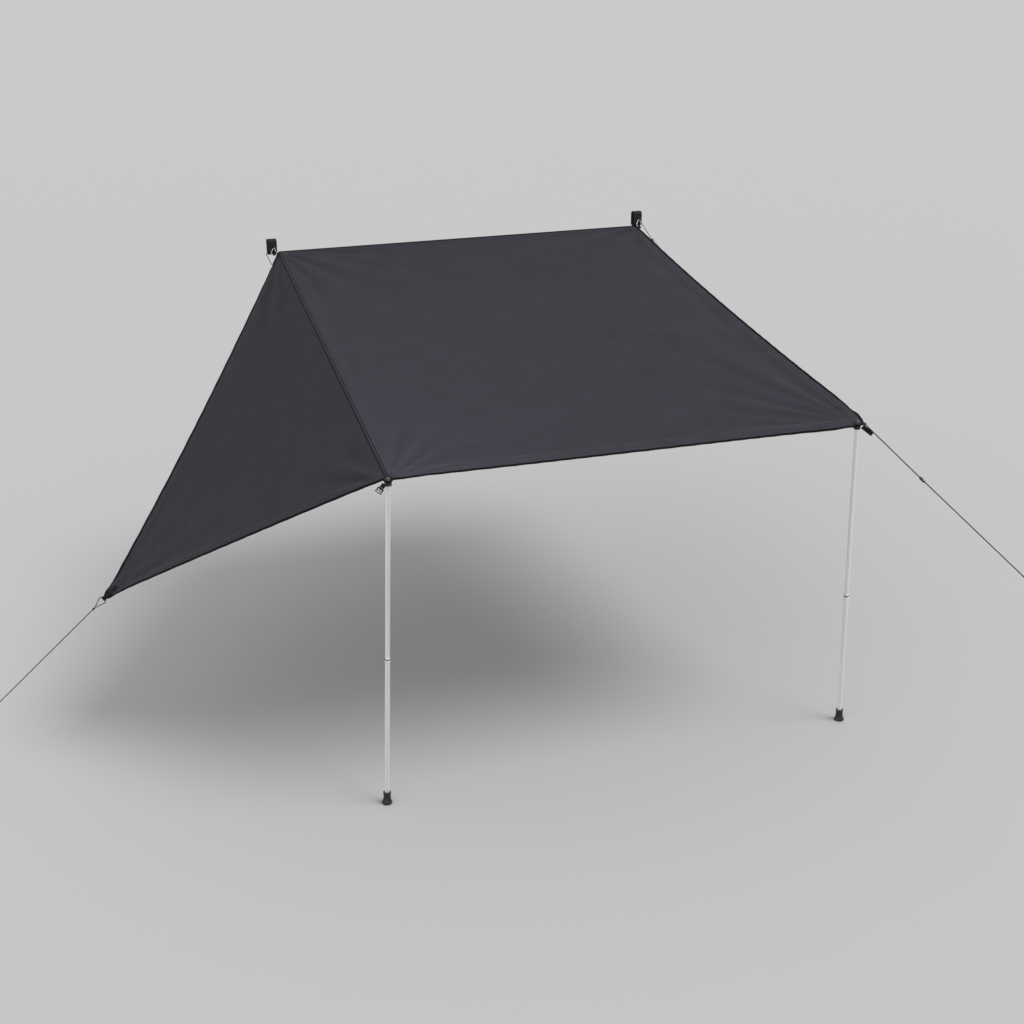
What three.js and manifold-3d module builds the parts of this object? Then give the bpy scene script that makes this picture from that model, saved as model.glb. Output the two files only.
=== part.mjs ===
// Vehicle side awning: a sloping fabric roof on two webbing loops and two poles,
// with a triangular wing that folds along a seam and is pulled out by a guyline.
// Millimetres, +X along the vehicle, +Y towards the vehicle, +Z up.
// The origin is the inside top of the left roof loop, where it bears on the roof rail.

import * as THREE from 'three';
import { mergeVertices } from 'three/addons/utils/BufferGeometryUtils.js';
import Module from 'manifold-3d';

const wasm = await Module();
wasm.setup();

// Layout of the pitched awning
const rearWidth = 2427;
const frontWidth = 2497;
const footWidth = 2625;
const projection = 2904;
const rise = 441;
const spigotHeight = 1780;
const wingLength = 1680;
const wingTipAlong = 845;
const wingDropAngle = 37.86;

// Clearances shared by all pieces
const seatGap = 0.3;
const slideGap = 0.4;
const overrun = 5;

// Fabric, edge tape and corner patches
const fabricThickness = 1.2;
const tapeThickness = 2.6;
const tapeWidth = 11;
const rearTapeWidth = 43;
const patchThickness = 3;
const creaseGap = 4.2;
const clothGap = 0.9;
const creaseCordDiameter = 7;
const frontPatchRadius = 62;
const heelDiscRadius = 34;
const rearPatchRadius = 70;
const tipPatchRadius = 116;
const wingHeelRadius = 50;
const wingHeadRadius = 100;

// Outline of the roof panel
const frontOverhangLeft = 6;
const frontOverhangRight = 32;
const rightOverhang = 66;
const rightEdgeHollow = 34;
const cornerTurnSide = 119;
const cornerTurnFront = 78;
const cornerPullSide = 35;
const cornerPullFront = 17;

// Outline of the wing
const wingHeel = 34;
const wingLowerHollow = 12;
const wingSideHollow = 62;
const wingTipCut = 18;

// Folds of the tensioned cloth
const roofBelly = 26;
const wingBelly = 20;
const edgeFoldDepth = 13;
const edgeFoldInset = 105;
const edgeFoldWidth = 60;
const fanHeight = 6;
const fanReach = 420;
const fanStart = 130;

// Roof loops: webbing bands that hang on a side rail of the roof
const loopWidth = 58;
const loopDepth = 50;
const loopHeight = 95;
const loopThickness = 2.5;
const loopTopRadius = 18;
const loopFootRadius = 14;
const leftLoopShift = -44;
const leftLoopRise = 83;
const rightLoopShift = 0;
const rightLoopRise = 98;
const keeperWidth = 6.5;
const keeperWall = 2;

// Corner rings: flat-topped triangles of bright wire between corner and loop
const ringWire = 6;
const ringBase = 44;
const ringTop = 17;
const ringHeight = 41;
const ringBend = 5.5;
const ringDrop = 74;
const ringShift = 7;
const ringTabWidth = 19;

// Wire delta in the foot of the left loop, over the head of the wing
const deltaWire = 4.6;
const deltaBase = 77;
const deltaReach = 74.4;
const deltaBeside = 5.4;
const deltaBend = 6;

// Link cord of the right loop and the bright hook that it pulls along the right edge
const linkDiameter = 4.6;
const hookDistance = 262;
const hookLength = 112;
const hookDiameter = 12;
const hookTipDiameter = 4;
const sleeveLength = 16;
const sleeveDiameter = 15;

// Eyelets, spigots and the disc of the right guyline
const eyeletBore = 14;
const eyeletBarrelWall = 0.8;
const eyeletFlangeDiameter = 25;
const eyeletFlange = 0.9;
const spigotDiameter = 9.4;
const spigotAbove = 10;
const spigotHeadDiameter = 16;
const spigotHeadHeight = 6;
const domeDiameter = 26;
const domeHeight = 12;
const domeWall = 1.4;
const domeBand = 2;
const discDiameter = 46;
const discThickness = 5;
const discBore = 17;

// Poles: an upper tube that plugs into a lower tube, with a snap button
const upperTubeDiameter = 24;
const upperTubeWall = 1;
const lowerTubeDiameter = 26;
const lowerTubeWall = 0.8;
const plugLength = 120;
const leftJointHeight = 833;
const rightJointHeight = 784;
const beadDiameter = 29;
const beadHeight = 5;
const beadGap = 3;
const ferruleDiameter = 29.6;
const ferruleHeight = 13;
const ferruleLip = 1.6;
const ferruleGroove = 0.8;
const buttonDrop = 17;
const buttonDiameter = 8;
const buttonProud = 3.4;
const buttonTravel = 3;
const leafThickness = 0.9;
const leafWidth = 8;
const leafLength = 34;
const springLength = 62;
const leftButtonTurn = 200;
const rightButtonTurn = 0;

// Cap at the top of a pole and rubber foot at its bottom
const capDiameter = 36;
const capSkirt = 17;
const capShoulderAngle = 22;
const capClear = 3.1;
const capRib = 1.2;
const footHeight = 67;
const footDiameter = 54;
const footNeckDiameter = 40;
const footWaistDiameter = 37;
const footRingHeight = 29;
const footRingWidth = 6;
const footRingProud = 2;
const footSole = 12;
const footEdge = 3;

// Webbing tails under the front corners, placed from their spigot
const tailWidth = 24;
const tailThickness = 2.4;
const tailEyeWall = 1.6;
const leftTailPlace = [-22, -24.5, -8];
const leftTailLength = 26;
const rightTailPlace = [20.5, -18.6, -13.1];
const rightTailLength = 66;
const buckleLength = 27;
const buckleWidth = 35;
const buckleThickness = 4.5;
const buckleBar = 4.2;
const buckleRound = 3;

// Tip of the wing: webbing tab and swinging wire delta
const tabLength = 95;
const tabWidth = 25;
const tabThickness = 2.2;
const tabTwist = 54.4;
const tabTurnLength = 12;
const tipRingWire = 4.4;
const tipRingBase = 49;
const tipRingHeight = 61;
const tipRingBend = 5;

// Guylines: route points are measured from the piece that each line leaves
const leftGuyDiameter = 5;
const rightGuyDiameter = 6;
const leftGuyLength = 800;
const rightGuyTurn = [24, -18, 8.7];
const rightGuyTieRadius = 14;
const tensionerPlace = [260, -216, -247.2];
const rightGuyLeaving = [703.6, -588.2, -719.6];
const rightGuyBeyond = 90;
const tensionerLength = 37;
const tensionerWidth = 22;
const tensionerThickness = 10;
const guyHookWire = 5;
const guyHookBend = 13;
const ferruleLength = 16;
const crimpWall = 1.8;

// Roundness of the facets
const sides = { cord: 8, wire: 8, tube: 24, cap: 24 };
const sheetSteps = 20;
const leftGuySteps = 24;
const rightGuySteps = 78;
const bendSteps = 4;

const half = (size) => size / 2;
const radians = (degrees) => THREE.MathUtils.degToRad(degrees);
const lerp = THREE.MathUtils.lerp;
const vec = (x, y, z) => new THREE.Vector3(x, y, z);

// Colours, roughness and metalness of the real surfaces
function finish(hex, roughness, metalness = 0) {
  return new THREE.MeshStandardMaterial({ color: hex, roughness, metalness });
}
const roofCloth = finish(0x43444c, 0.86);
const wingCloth = finish(0x3b3b42, 0.88);
const webbing = finish(0x1c1c1e, 0.8);
const brightSteel = finish(0xc9cacc, 0.28, 1);
const darkWire = finish(0x2a2a2c, 0.4, 0.8);
const aluminium = finish(0xd6d7d9, 0.32, 1);
const blackPlastic = finish(0x17171a, 0.5);
const rubber = finish(0x19191a, 0.75);
const cordBlack = finish(0x141415, 0.85);

// Closed solids from rings of points: side walls between neighbours, caps at open ends
function skin(rings, closed = false) {
  const count = rings[0].length;
  const positions = [];
  for (const ring of rings) {
    for (const point of ring) positions.push(point.x, point.y, point.z);
  }
  const faces = [];
  const last = closed ? rings.length : rings.length - 1;
  for (let i = 0; i < last; i++) {
    const a = i * count;
    const b = ((i + 1) % rings.length) * count;
    for (let j = 0; j < count; j++) {
      const k = (j + 1) % count;
      faces.push(a + j, a + k, b + k, a + j, b + k, b + j);
    }
  }
  if (!closed) {
    const end = (rings.length - 1) * count;
    for (let j = 1; j < count - 1; j++) {
      faces.push(0, j + 1, j);
      faces.push(end, end + j, end + j + 1);
    }
  }
  return outward(positions, faces);
}

// A geometry whose faces all point out
function outward(positions, faces) {
  const point = (index) => vec().fromArray(positions, 3 * index);
  let volume = 0;
  for (let i = 0; i < faces.length; i += 3) {
    const [a, b, c] = [point(faces[i]), point(faces[i + 1]), point(faces[i + 2])];
    volume += a.dot(b.cross(c));
  }
  if (volume < 0) faces.reverse();
  const geometry = new THREE.BufferGeometry();
  geometry.setAttribute('position', new THREE.Float32BufferAttribute(positions, 3));
  geometry.setIndex(faces);
  return geometry;
}

// A sheet of even thickness around a grid of points on its middle surface
function sheet(grid, thickness) {
  const rows = grid.length;
  const columns = grid[0].length;
  const at = (i, j) => grid[THREE.MathUtils.clamp(i, 0, rows - 1)][THREE.MathUtils.clamp(j, 0, columns - 1)];
  const positions = [];
  for (const side of [1, -1]) {
    for (let i = 0; i < rows; i++) {
      for (let j = 0; j < columns; j++) {
        const along = at(i + 1, j).clone().sub(at(i - 1, j));
        const across = at(i, j + 1).clone().sub(at(i, j - 1));
        const normal = along.cross(across).normalize();
        const point = grid[i][j].clone().addScaledVector(normal, side * half(thickness));
        positions.push(point.x, point.y, point.z);
      }
    }
  }
  const top = (i, j) => i * columns + j;
  const under = (i, j) => rows * columns + top(i, j);
  const faces = [];
  const quad = (a, b, c, d) => faces.push(a, b, c, a, c, d);
  for (let i = 0; i < rows - 1; i++) {
    for (let j = 0; j < columns - 1; j++) {
      quad(top(i, j), top(i + 1, j), top(i + 1, j + 1), top(i, j + 1));
      quad(under(i, j), under(i, j + 1), under(i + 1, j + 1), under(i + 1, j));
    }
  }
  for (let i = 0; i < rows - 1; i++) {
    quad(top(i, 0), under(i, 0), under(i + 1, 0), top(i + 1, 0));
    const j = columns - 1;
    quad(top(i, j), top(i + 1, j), under(i + 1, j), under(i, j));
  }
  for (let j = 0; j < columns - 1; j++) {
    quad(top(0, j), top(0, j + 1), under(0, j + 1), under(0, j));
    const i = rows - 1;
    quad(top(i, j), under(i, j), under(i, j + 1), top(i, j + 1));
  }
  return outward(positions, faces);
}

// Joining and cutting of closed solids
function solid(geometry) {
  const bare = geometry.clone();
  bare.deleteAttribute('normal');
  bare.deleteAttribute('uv');
  const merged = mergeVertices(bare, 1e-4);
  const vertProperties = new Float32Array(merged.attributes.position.array);
  const triVerts = new Uint32Array(merged.index.array);
  return new wasm.Manifold(new wasm.Mesh({ numProp: 3, vertProperties, triVerts }));
}

function surface(manifold) {
  const mesh = manifold.getMesh();
  const geometry = new THREE.BufferGeometry();
  geometry.setAttribute('position', new THREE.Float32BufferAttribute(mesh.vertProperties, 3));
  geometry.setIndex(Array.from(mesh.triVerts));
  return geometry;
}

const cut = (geometry, ...tools) => surface(tools.reduce((body, tool) => body.subtract(solid(tool)), solid(geometry)));
const join = (geometry, ...others) => surface(others.reduce((body, part) => body.add(solid(part)), solid(geometry)));
const common = (geometry, tool) => surface(solid(geometry).intersect(solid(tool)));

// A turned solid about +Z from a profile of [radius, height] pairs that closes on itself
function turned(profile, segments) {
  const points = [...profile, profile[0]].map(([radius, height]) => new THREE.Vector2(radius, height));
  const geometry = new THREE.LatheGeometry(points, segments);
  geometry.rotateX(Math.PI / 2);
  const bare = mergeVertices(stripped(geometry), 1e-4);
  const faces = [];
  const index = Array.from(bare.index.array);
  for (let i = 0; i < index.length; i += 3) {
    const [a, b, c] = index.slice(i, i + 3);
    if (a !== b && b !== c && c !== a) faces.push(a, b, c);
  }
  return outward(Array.from(bare.attributes.position.array), faces);
}

function stripped(geometry) {
  geometry.deleteAttribute('normal');
  geometry.deleteAttribute('uv');
  return geometry;
}

// A cylinder along +Z that is centred on a point
function drum(diameter, height, centre = vec(0, 0, 0), segments = sides.cap) {
  const geometry = new THREE.CylinderGeometry(half(diameter), half(diameter), height, segments);
  geometry.rotateX(Math.PI / 2);
  geometry.translate(centre.x, centre.y, centre.z);
  return geometry;
}

// A flat plate from an outline of [x, y] pairs, centred on z = 0
function plate(outline, thickness, holes = []) {
  const turnedLeft = (loop) => {
    const points = loop.map(([x, y]) => new THREE.Vector2(x, y));
    return THREE.ShapeUtils.isClockWise(points) ? points.reverse() : points;
  };
  const shape = new THREE.Shape(turnedLeft(outline));
  for (const hole of holes) shape.holes.push(new THREE.Path(turnedLeft(hole)));
  const geometry = new THREE.ExtrudeGeometry(shape, { depth: thickness, bevelEnabled: false });
  geometry.translate(0, 0, -half(thickness));
  return geometry;
}

// Points of a rounded polygon: each corner is turned with its own bend radius
function roundedLoop(corners, bends, steps = bendSteps) {
  const points = [];
  corners.forEach((corner, index) => {
    const bend = Array.isArray(bends) ? bends[index] : bends;
    const before = corners[(index + corners.length - 1) % corners.length];
    const after = corners[(index + 1) % corners.length];
    const back = before.clone().sub(corner).normalize();
    const ahead = after.clone().sub(corner).normalize();
    const opening = back.angleTo(ahead);
    const reach = bend / Math.tan(half(opening));
    const start = corner.clone().addScaledVector(back, reach);
    const end = corner.clone().addScaledVector(ahead, reach);
    const middle = back.clone().add(ahead).normalize();
    const centre = corner.clone().addScaledVector(middle, bend / Math.sin(half(opening)));
    for (let step = 0; step <= steps; step++) {
      const chord = start.clone().lerp(end, step / steps);
      points.push(chord.sub(centre).normalize().multiplyScalar(bend).add(centre));
    }
  });
  return points;
}

// A closed wire ring that follows a flat loop of points
function wireRing(points, normal, diameter) {
  const rings = points.map((point, index) => {
    const before = points[(index + points.length - 1) % points.length];
    const after = points[(index + 1) % points.length];
    const incoming = point.clone().sub(before).normalize();
    const outgoing = after.clone().sub(point).normalize();
    const tangent = incoming.clone().add(outgoing).normalize();
    const inward = normal.clone().cross(tangent).normalize();
    const stretch = 1 / tangent.dot(outgoing);
    return Array.from({ length: sides.wire }, (_, side) => {
      const turn = 2 * Math.PI * (side + 0.5) / sides.wire;
      return point.clone()
        .addScaledVector(inward, half(diameter) * Math.cos(turn) * stretch)
        .addScaledVector(normal, half(diameter) * Math.sin(turn));
    });
  });
  return skin(rings, true);
}

// A round bar or cord along a curve
function rod(curve, diameter, steps, roundness = sides.cord) {
  const circle = new THREE.Shape();
  for (let side = 0; side <= roundness; side++) {
    const turn = 2 * Math.PI * side / roundness;
    const [x, y] = [half(diameter) * Math.cos(turn), half(diameter) * Math.sin(turn)];
    if (side === 0) circle.moveTo(x, y);
    else if (side < roundness) circle.lineTo(x, y);
  }
  return new THREE.ExtrudeGeometry(circle, { steps, extrudePath: curve, bevelEnabled: false });
}

// A folded webbing eye: a short sleeve around a bar that runs along X through the origin
function eye(bar, wall, width) {
  const inner = half(bar) + seatGap;
  const outer = inner + wall;
  const sleeve = turned([[inner, -half(width)], [outer, -half(width)], [outer, half(width)], [inner, half(width)]], 16);
  return sleeve.rotateY(Math.PI / 2);
}

function piece(name, geometry, material) {
  const mesh = new THREE.Mesh(geometry, material);
  mesh.name = name;
  return mesh;
}

function group(position, ...children) {
  const holder = new THREE.Group();
  holder.position.copy(position);
  holder.add(...children);
  return holder;
}

// A group whose local axes are given as three directions
function framed(position, xAxis, yAxis, zAxis, ...children) {
  const holder = group(position, ...children);
  holder.quaternion.setFromRotationMatrix(new THREE.Matrix4().makeBasis(xAxis, yAxis, zAxis));
  return holder;
}

// Main points of the awning
const creaseLean = half(frontWidth - rearWidth);
const poleLean = half(footWidth - frontWidth);
const rearLeft = vec(-leftLoopShift, 0, loopThickness - leftLoopRise);
const rearRight = rearLeft.clone().add(vec(rearWidth, 0, 0));
const spigotLeft = rearLeft.clone().add(vec(-creaseLean, -projection, -rise));
const spigotRight = spigotLeft.clone().add(vec(frontWidth, 0, 0));
const slope = Math.hypot(projection, rise);
const slopeAngle = Math.atan2(rise, projection);
const creaseLength = Math.hypot(creaseLean, slope);
const wingSide = (q) => lerp(creaseLength, wingTipAlong, q) - wingSideHollow * 4 * q * (1 - q);
const wingTip = [wingTipAlong, wingLength];

// Eased ramp from nothing at the edge of a flat patch to full height further out
const ease = (value) => THREE.MathUtils.smoothstep(value, 0, 1);

// Folds that radiate from a pulled corner, still flat under its patch
function fan(x, y, corner) {
  const [dx, dy] = [x - corner.x, y - corner.y];
  const distance = Math.hypot(dx, dy);
  const ramp = ease((distance - corner.flat) / fanStart);
  const fade = Math.exp(-distance / (fanReach * corner.reachShare));
  const wave = Math.cos(corner.folds * Math.atan2(dy, dx) + corner.turn);
  return fanHeight * corner.heightShare * ramp * fade * wave;
}

// Width of the roof panel at a height up the slope
const roofLeftEdge = (y) => creaseLean * y / slope;
function roofRightEdge(y) {
  const share = y / slope;
  const straight = lerp(frontWidth + rightOverhang, rearWidth + creaseLean, share);
  const hollow = rightEdgeHollow * 4 * Math.max(share, 0) * (1 - share);
  const turn = Math.max(0, (cornerTurnSide - y - cornerPullFront) / cornerTurnSide);
  return straight - hollow - cornerPullSide * turn ** 1.5;
}
function roofFrontEdge(x) {
  const straight = -lerp(frontOverhangLeft, frontOverhangRight, x / frontWidth);
  const turn = Math.max(0, (x - frontWidth + cornerTurnFront - cornerPullSide) / cornerTurnFront);
  return straight + cornerPullFront * turn ** 1.5;
}

const roofFans = [
  { x: 0, y: 0, flat: frontPatchRadius, reachShare: 0.9, heightShare: 1, folds: 11, turn: 0.4 },
  { x: frontWidth, y: 0, flat: frontPatchRadius, reachShare: 1.2, heightShare: 1.15, folds: 12, turn: 1.1 },
  { x: creaseLean + rearWidth, y: slope, flat: rearPatchRadius, reachShare: 1, heightShare: 0.9, folds: 10, turn: 2 },
  { x: creaseLean, y: slope, flat: rearPatchRadius, reachShare: 1.3, heightShare: 1.2, folds: 11, turn: 0.9 },
];

// Height of the roof cloth over the plane through its four corners
function roofRelief(x, y) {
  const across = THREE.MathUtils.clamp((x - roofLeftEdge(y)) / (frontWidth - roofLeftEdge(y)), 0, 1);
  const up = THREE.MathUtils.clamp(y / slope, 0, 1);
  const belly = roofBelly * Math.sin(Math.PI * across) * Math.sin(Math.PI * up);
  const fromEdge = (roofRightEdge(y) - x - edgeFoldInset) / edgeFoldWidth;
  const edgeFold = edgeFoldDepth * Math.exp(-(fromEdge ** 2)) * Math.sin(Math.PI * up);
  const held = ease((x - roofLeftEdge(y)) / fanStart);
  const folds = roofFans.reduce((sum, corner) => sum + fan(x, y, corner), 0);
  return held * folds * ease((slope - y) / fanStart + seatGap / fanStart) - belly - edgeFold;
}

// Shares of a side that crowd its stations towards both ends, where the folds are
const stations = Array.from({ length: sheetSteps + 1 }, (_, i) => {
  const even = i / sheetSteps;
  return lerp(even, half(1 - Math.cos(Math.PI * even)), 0.7);
});

// Sides of an outline as lists of [x, y]; neighbours share their end points
function roofOutline() {
  const cornerX = roofRightEdge(-cornerPullFront);
  const cornerY = roofFrontEdge(cornerX);
  const front = stations.map((s) => {
    const x = s * cornerX;
    return [x, roofFrontEdge(x)];
  });
  const right = stations.map((s) => {
    const y = lerp(cornerY, slope, s);
    return [s === 0 ? cornerX : roofRightEdge(y), y];
  });
  const startY = roofFrontEdge(0);
  const left = stations.map((s) => {
    const y = lerp(startY, slope, s);
    return [s === 0 ? 0 : roofLeftEdge(y), y];
  });
  const rear = stations.map((s) => [lerp(creaseLean, roofRightEdge(slope), s), slope]);
  return { front, right, rear, left };
}

function wingOutline() {
  const lowerEnd = 1 - wingTipCut / wingLength;
  const lower = stations.map((s) => {
    const q = s * lowerEnd;
    return [lerp(wingHeel, wingTipAlong, q) + wingLowerHollow * 4 * q * (1 - q), q * wingLength];
  });
  const side = stations.map((s) => {
    const q = s * lowerEnd;
    return [wingSide(q), q * wingLength];
  });
  const crease = stations.map((s) => [lerp(wingHeel, creaseLength, s), 0]);
  const tip = stations.map((s) => [
    lerp(lower[sheetSteps][0], side[sheetSteps][0], s),
    lerp(lower[sheetSteps][1], side[sheetSteps][1], s),
  ]);
  return { front: crease, right: side, rear: tip, left: lower };
}

// Sides moved inwards by a width of their own, still meeting at the corners
function inset(outline, widths) {
  const moved = {
    front: movedSide(outline.front, widths.front),
    right: movedSide(outline.right, widths.right),
    rear: movedSide(outline.rear, -widths.rear),
    left: movedSide(outline.left, -widths.left),
  };
  const corner = (first, second) => crossing(first.point, first.way, second.point, second.way);
  const corners = [
    corner(moved.front.start, moved.left.start), corner(moved.front.end, moved.right.start),
    corner(moved.rear.start, moved.left.end), corner(moved.rear.end, moved.right.end),
  ];
  const stretched = ({ points }, start, end) => points.map(([x, y], i) => {
    const s = stations[i];
    const [first, last] = [points[0], points[sheetSteps]];
    return [
      x + (1 - s) * (start[0] - first[0]) + s * (end[0] - last[0]),
      y + (1 - s) * (start[1] - first[1]) + s * (end[1] - last[1]),
    ];
  });
  return {
    front: stretched(moved.front, corners[0], corners[1]),
    right: stretched(moved.right, corners[1], corners[3]),
    rear: stretched(moved.rear, corners[2], corners[3]),
    left: stretched(moved.left, corners[0], corners[2]),
  };
}

// A side moved to its left by a width, with the direction of its first and last stretch
function movedSide(side, width) {
  const normals = side.slice(1).map((point, i) => inwardNormal(side[i], point));
  const points = side.map(([x, y], i) => {
    const [nx, ny] = normals[Math.min(i, normals.length - 1)];
    return [x + width * nx, y + width * ny];
  });
  const way = (normal) => [normal[1], -normal[0]];
  return {
    points,
    start: { point: points[0], way: way(normals[0]) },
    end: { point: points[sheetSteps], way: way(normals[normals.length - 1]) },
  };
}

// Where two lines meet, each given by a point and a direction
function crossing(a, along, b, across) {
  const determinant = along[0] * across[1] - along[1] * across[0];
  const share = ((b[0] - a[0]) * across[1] - (b[1] - a[1]) * across[0]) / determinant;
  return [a[0] + share * along[0], a[1] + share * along[1]];
}

function inwardNormal(from, to) {
  const [dx, dy] = [to[0] - from[0], to[1] - from[1]];
  const length = Math.hypot(dx, dy);
  return [-dy / length, dx / length];
}

// A grid between four sides, each inner point blended from all of them
function filled(outline, relief) {
  const { front, right, rear, left } = outline;
  const corners = [front[0], front[sheetSteps], rear[0], rear[sheetSteps]];
  return stations.map((t, j) => stations.map((s, i) => {
    const mixed = [0, 1].map((axis) => {
      const upDown = lerp(front[i][axis], rear[i][axis], t);
      const leftRight = lerp(left[j][axis], right[j][axis], s);
      const low = lerp(corners[0][axis], corners[1][axis], s);
      const high = lerp(corners[2][axis], corners[3][axis], s);
      return upDown + leftRight - lerp(low, high, t);
    });
    return vec(mixed[0], mixed[1], relief(mixed[0], mixed[1]));
  }));
}

// A strip of edge tape between the outer edge and the edge of the cloth
function tape(outer, inner, relief) {
  const rows = [outer, inner].map((line) => line.map(([x, y]) => vec(x, y, relief(x, y))));
  return sheet(rows, tapeThickness);
}

const patchCutter = (x, y, radius) => drum(2 * radius, 8 * roofBelly, vec(x, y, 0));

// Roof panel, its tapes and its corner patches, in the plane of the roof
function roofCorners() {
  return [
    { x: 0, y: 0, radius: frontPatchRadius },
    { x: frontWidth, y: 0, radius: frontPatchRadius },
    { x: creaseLean + rearWidth, y: slope, radius: rearPatchRadius },
    { x: creaseLean, y: slope, radius: rearPatchRadius },
  ];
}

// A place given in the part's frame, seen in the plane of the roof
function inRoof(point) {
  const from = point.clone().sub(spigotLeft);
  return from.applyAxisAngle(vec(1, 0, 0), -slopeAngle);
}

const loopSides = {
  left: { centre: rearLeft.x + leftLoopShift, top: rearLeft.z + leftLoopRise },
  right: { centre: rearRight.x + rightLoopShift, top: rearRight.z + rightLoopRise },
};
const ringPlane = -(half(loopDepth) + seatGap + half(ringWire));
const ringCentre = (side) => vec(side.centre + ringShift, ringPlane, side.top - ringDrop);
const ringBar = (side) => ringCentre(side).add(vec(0, 0, half(ringWire - ringHeight)));

function outlinePlate(outline, thickness) {
  const { front, right, rear, left } = outline;
  const loop = [...front, ...right.slice(1), ...[...rear].reverse().slice(1), ...[...left].reverse().slice(1, -1)];
  return plate(loop, thickness);
}

// A webbing tab from a corner patch to the base bar of its ring
function ringTab(side, seat) {
  const bar = inRoof(ringBar(side));
  const sleeve = eye(ringWire, tapeThickness, ringTabWidth).translate(bar.x, bar.y, bar.z);
  const under = bar.z - half(ringWire) - seatGap - half(tapeThickness);
  const row = (x, y, z) => [vec(x - half(ringTabWidth), y, z), vec(x + half(ringTabWidth), y, z)];
  const rows = [row(bar.x, bar.y, under), row(bar.x, bar.y - ringWire, under), row(seat.x, seat.y, 0)];
  return { sleeve, strap: sheet(rows, tapeThickness) };
}

function eyelet(x, y) {
  const bore = half(eyeletBore);
  const barrel = bore + eyeletBarrelWall;
  const flange = half(eyeletFlangeDiameter);
  const seat = half(patchThickness) + seatGap;
  const outer = seat + eyeletFlange;
  return turned([
    [bore, -outer], [flange, -outer], [flange, -seat], [barrel, -seat],
    [barrel, seat], [flange, seat], [flange, outer], [bore, outer],
  ], sides.tube).translate(x, y, 0);
}

const eyeletHole = (x, y) => drum(eyeletBore + 2 * (eyeletBarrelWall + seatGap), patchThickness + 2 * overrun, vec(x, y, 0));

function cornerPatches(outline) {
  const whole = outlinePlate(outline, patchThickness);
  const [frontLeft, frontRight, rearRightCorner, rearLeftCorner] = roofCorners().map(({ x, y, radius }) => (
    common(whole, patchCutter(x, y, radius))
  ));
  const heelDisc = drum(2 * heelDiscRadius, patchThickness, vec(0, 0, 0));
  const seatDepth = slope - rearPatchRadius + ringTabWidth;
  const leftTab = ringTab(loopSides.left, vec(creaseLean + ringTabWidth, seatDepth, 0));
  const rightTab = ringTab(loopSides.right, vec(creaseLean + rearWidth - ringTabWidth, seatDepth, 0));
  return [
    piece('patch_front_left', cut(join(frontLeft, heelDisc), eyeletHole(0, 0)), roofCloth),
    piece('patch_front_right', cut(frontRight, eyeletHole(frontWidth, 0)), roofCloth),
    piece('patch_rear_left', join(rearLeftCorner, leftTab.sleeve, leftTab.strap), roofCloth),
    piece('patch_rear_right', join(rearRightCorner, rightTab.sleeve, rightTab.strap), roofCloth),
    piece('eyelet_left', eyelet(0, 0), brightSteel),
    piece('eyelet_right', eyelet(frontWidth, 0), brightSteel),
  ];
}

// The bright hook and its black sleeve lie along the outside of the right edge
function edgeHook() {
  const along = (distance, diameter) => {
    const y = slope - distance;
    return vec(roofRightEdge(y) + half(diameter) + 2 * seatGap, y, roofRelief(roofRightEdge(y), y));
  };
  const start = along(hookDistance, sleeveDiameter);
  const end = along(hookDistance + sleeveLength + hookLength, hookDiameter);
  const direction = end.clone().sub(start).normalize();
  const turn = new THREE.Quaternion().setFromUnitVectors(vec(0, 0, 1), direction);
  const place = (geometry, distance) => {
    const centre = start.clone().addScaledVector(direction, distance);
    return geometry.applyQuaternion(turn).translate(centre.x, centre.y, centre.z);
  };
  const grip = [[0, 0], [half(sleeveDiameter), 0], [half(sleeveDiameter), sleeveLength], [0, sleeveLength]];
  const waist = hookLength / 4;
  const drop = [
    [0, 0], [half(hookTipDiameter), 0], [half(hookDiameter), waist],
    [half(hookTipDiameter), hookLength - hookTipDiameter], [0, hookLength],
  ];
  return {
    start,
    sleeve: place(turned(grip, sides.cord * 2), 0),
    hook: place(turned(drop, sides.cord * 2), sleeveLength + seatGap),
  };
}

function roofPieces() {
  const outline = roofOutline();
  const widths = { front: tapeWidth, right: tapeWidth, rear: rearTapeWidth, left: creaseGap };
  const clear = (value) => value + clothGap;
  const inner = inset(outline, widths);
  const cloth = inset(outline, { front: clear(tapeWidth), right: clear(tapeWidth), rear: clear(rearTapeWidth), left: creaseGap });
  const cutters = roofCorners().map(({ x, y, radius }) => patchCutter(x, y, radius + seatGap));
  const creaseCord = drum(creaseCordDiameter, creaseLength - frontPatchRadius - rearPatchRadius - 4 * seatGap, vec(0, 0, 0), 10)
    .rotateX(Math.PI / 2)
    .rotateZ(-Math.atan2(creaseLean, slope))
    .translate(half(creaseLean), half(slope + frontPatchRadius - rearPatchRadius), 0);
  const { sleeve, hook } = edgeHook();
  return [
    piece('canopy_panel', cut(sheet(filled(cloth, roofRelief), fabricThickness), ...cutters), roofCloth),
    piece('tape_front', cut(tape(outline.front, inner.front, roofRelief), ...cutters), webbing),
    piece('tape_right', cut(tape(outline.right, inner.right, roofRelief), ...cutters), webbing),
    piece('tape_rear', cut(tape(outline.rear, inner.rear, roofRelief), ...cutters), roofCloth),
    piece('crease_seam', creaseCord, roofCloth),
    ...cornerPatches(outline),
    piece('hook_sleeve_right', sleeve, blackPlastic),
    piece('edge_hook_right', hook, brightSteel),
    piece('guy_disc_right', guyDisc(), blackPlastic),
    spigotDome('spigot_dome_left', 0, discUnder),
    spigotDome('spigot_dome_right', frontWidth, discUnder + discThickness + seatGap),
  ];
}

// Disc that drops over the right spigot and takes the guyline
const discUnder = half(patchThickness) + 2 * seatGap + eyeletFlange;

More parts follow.
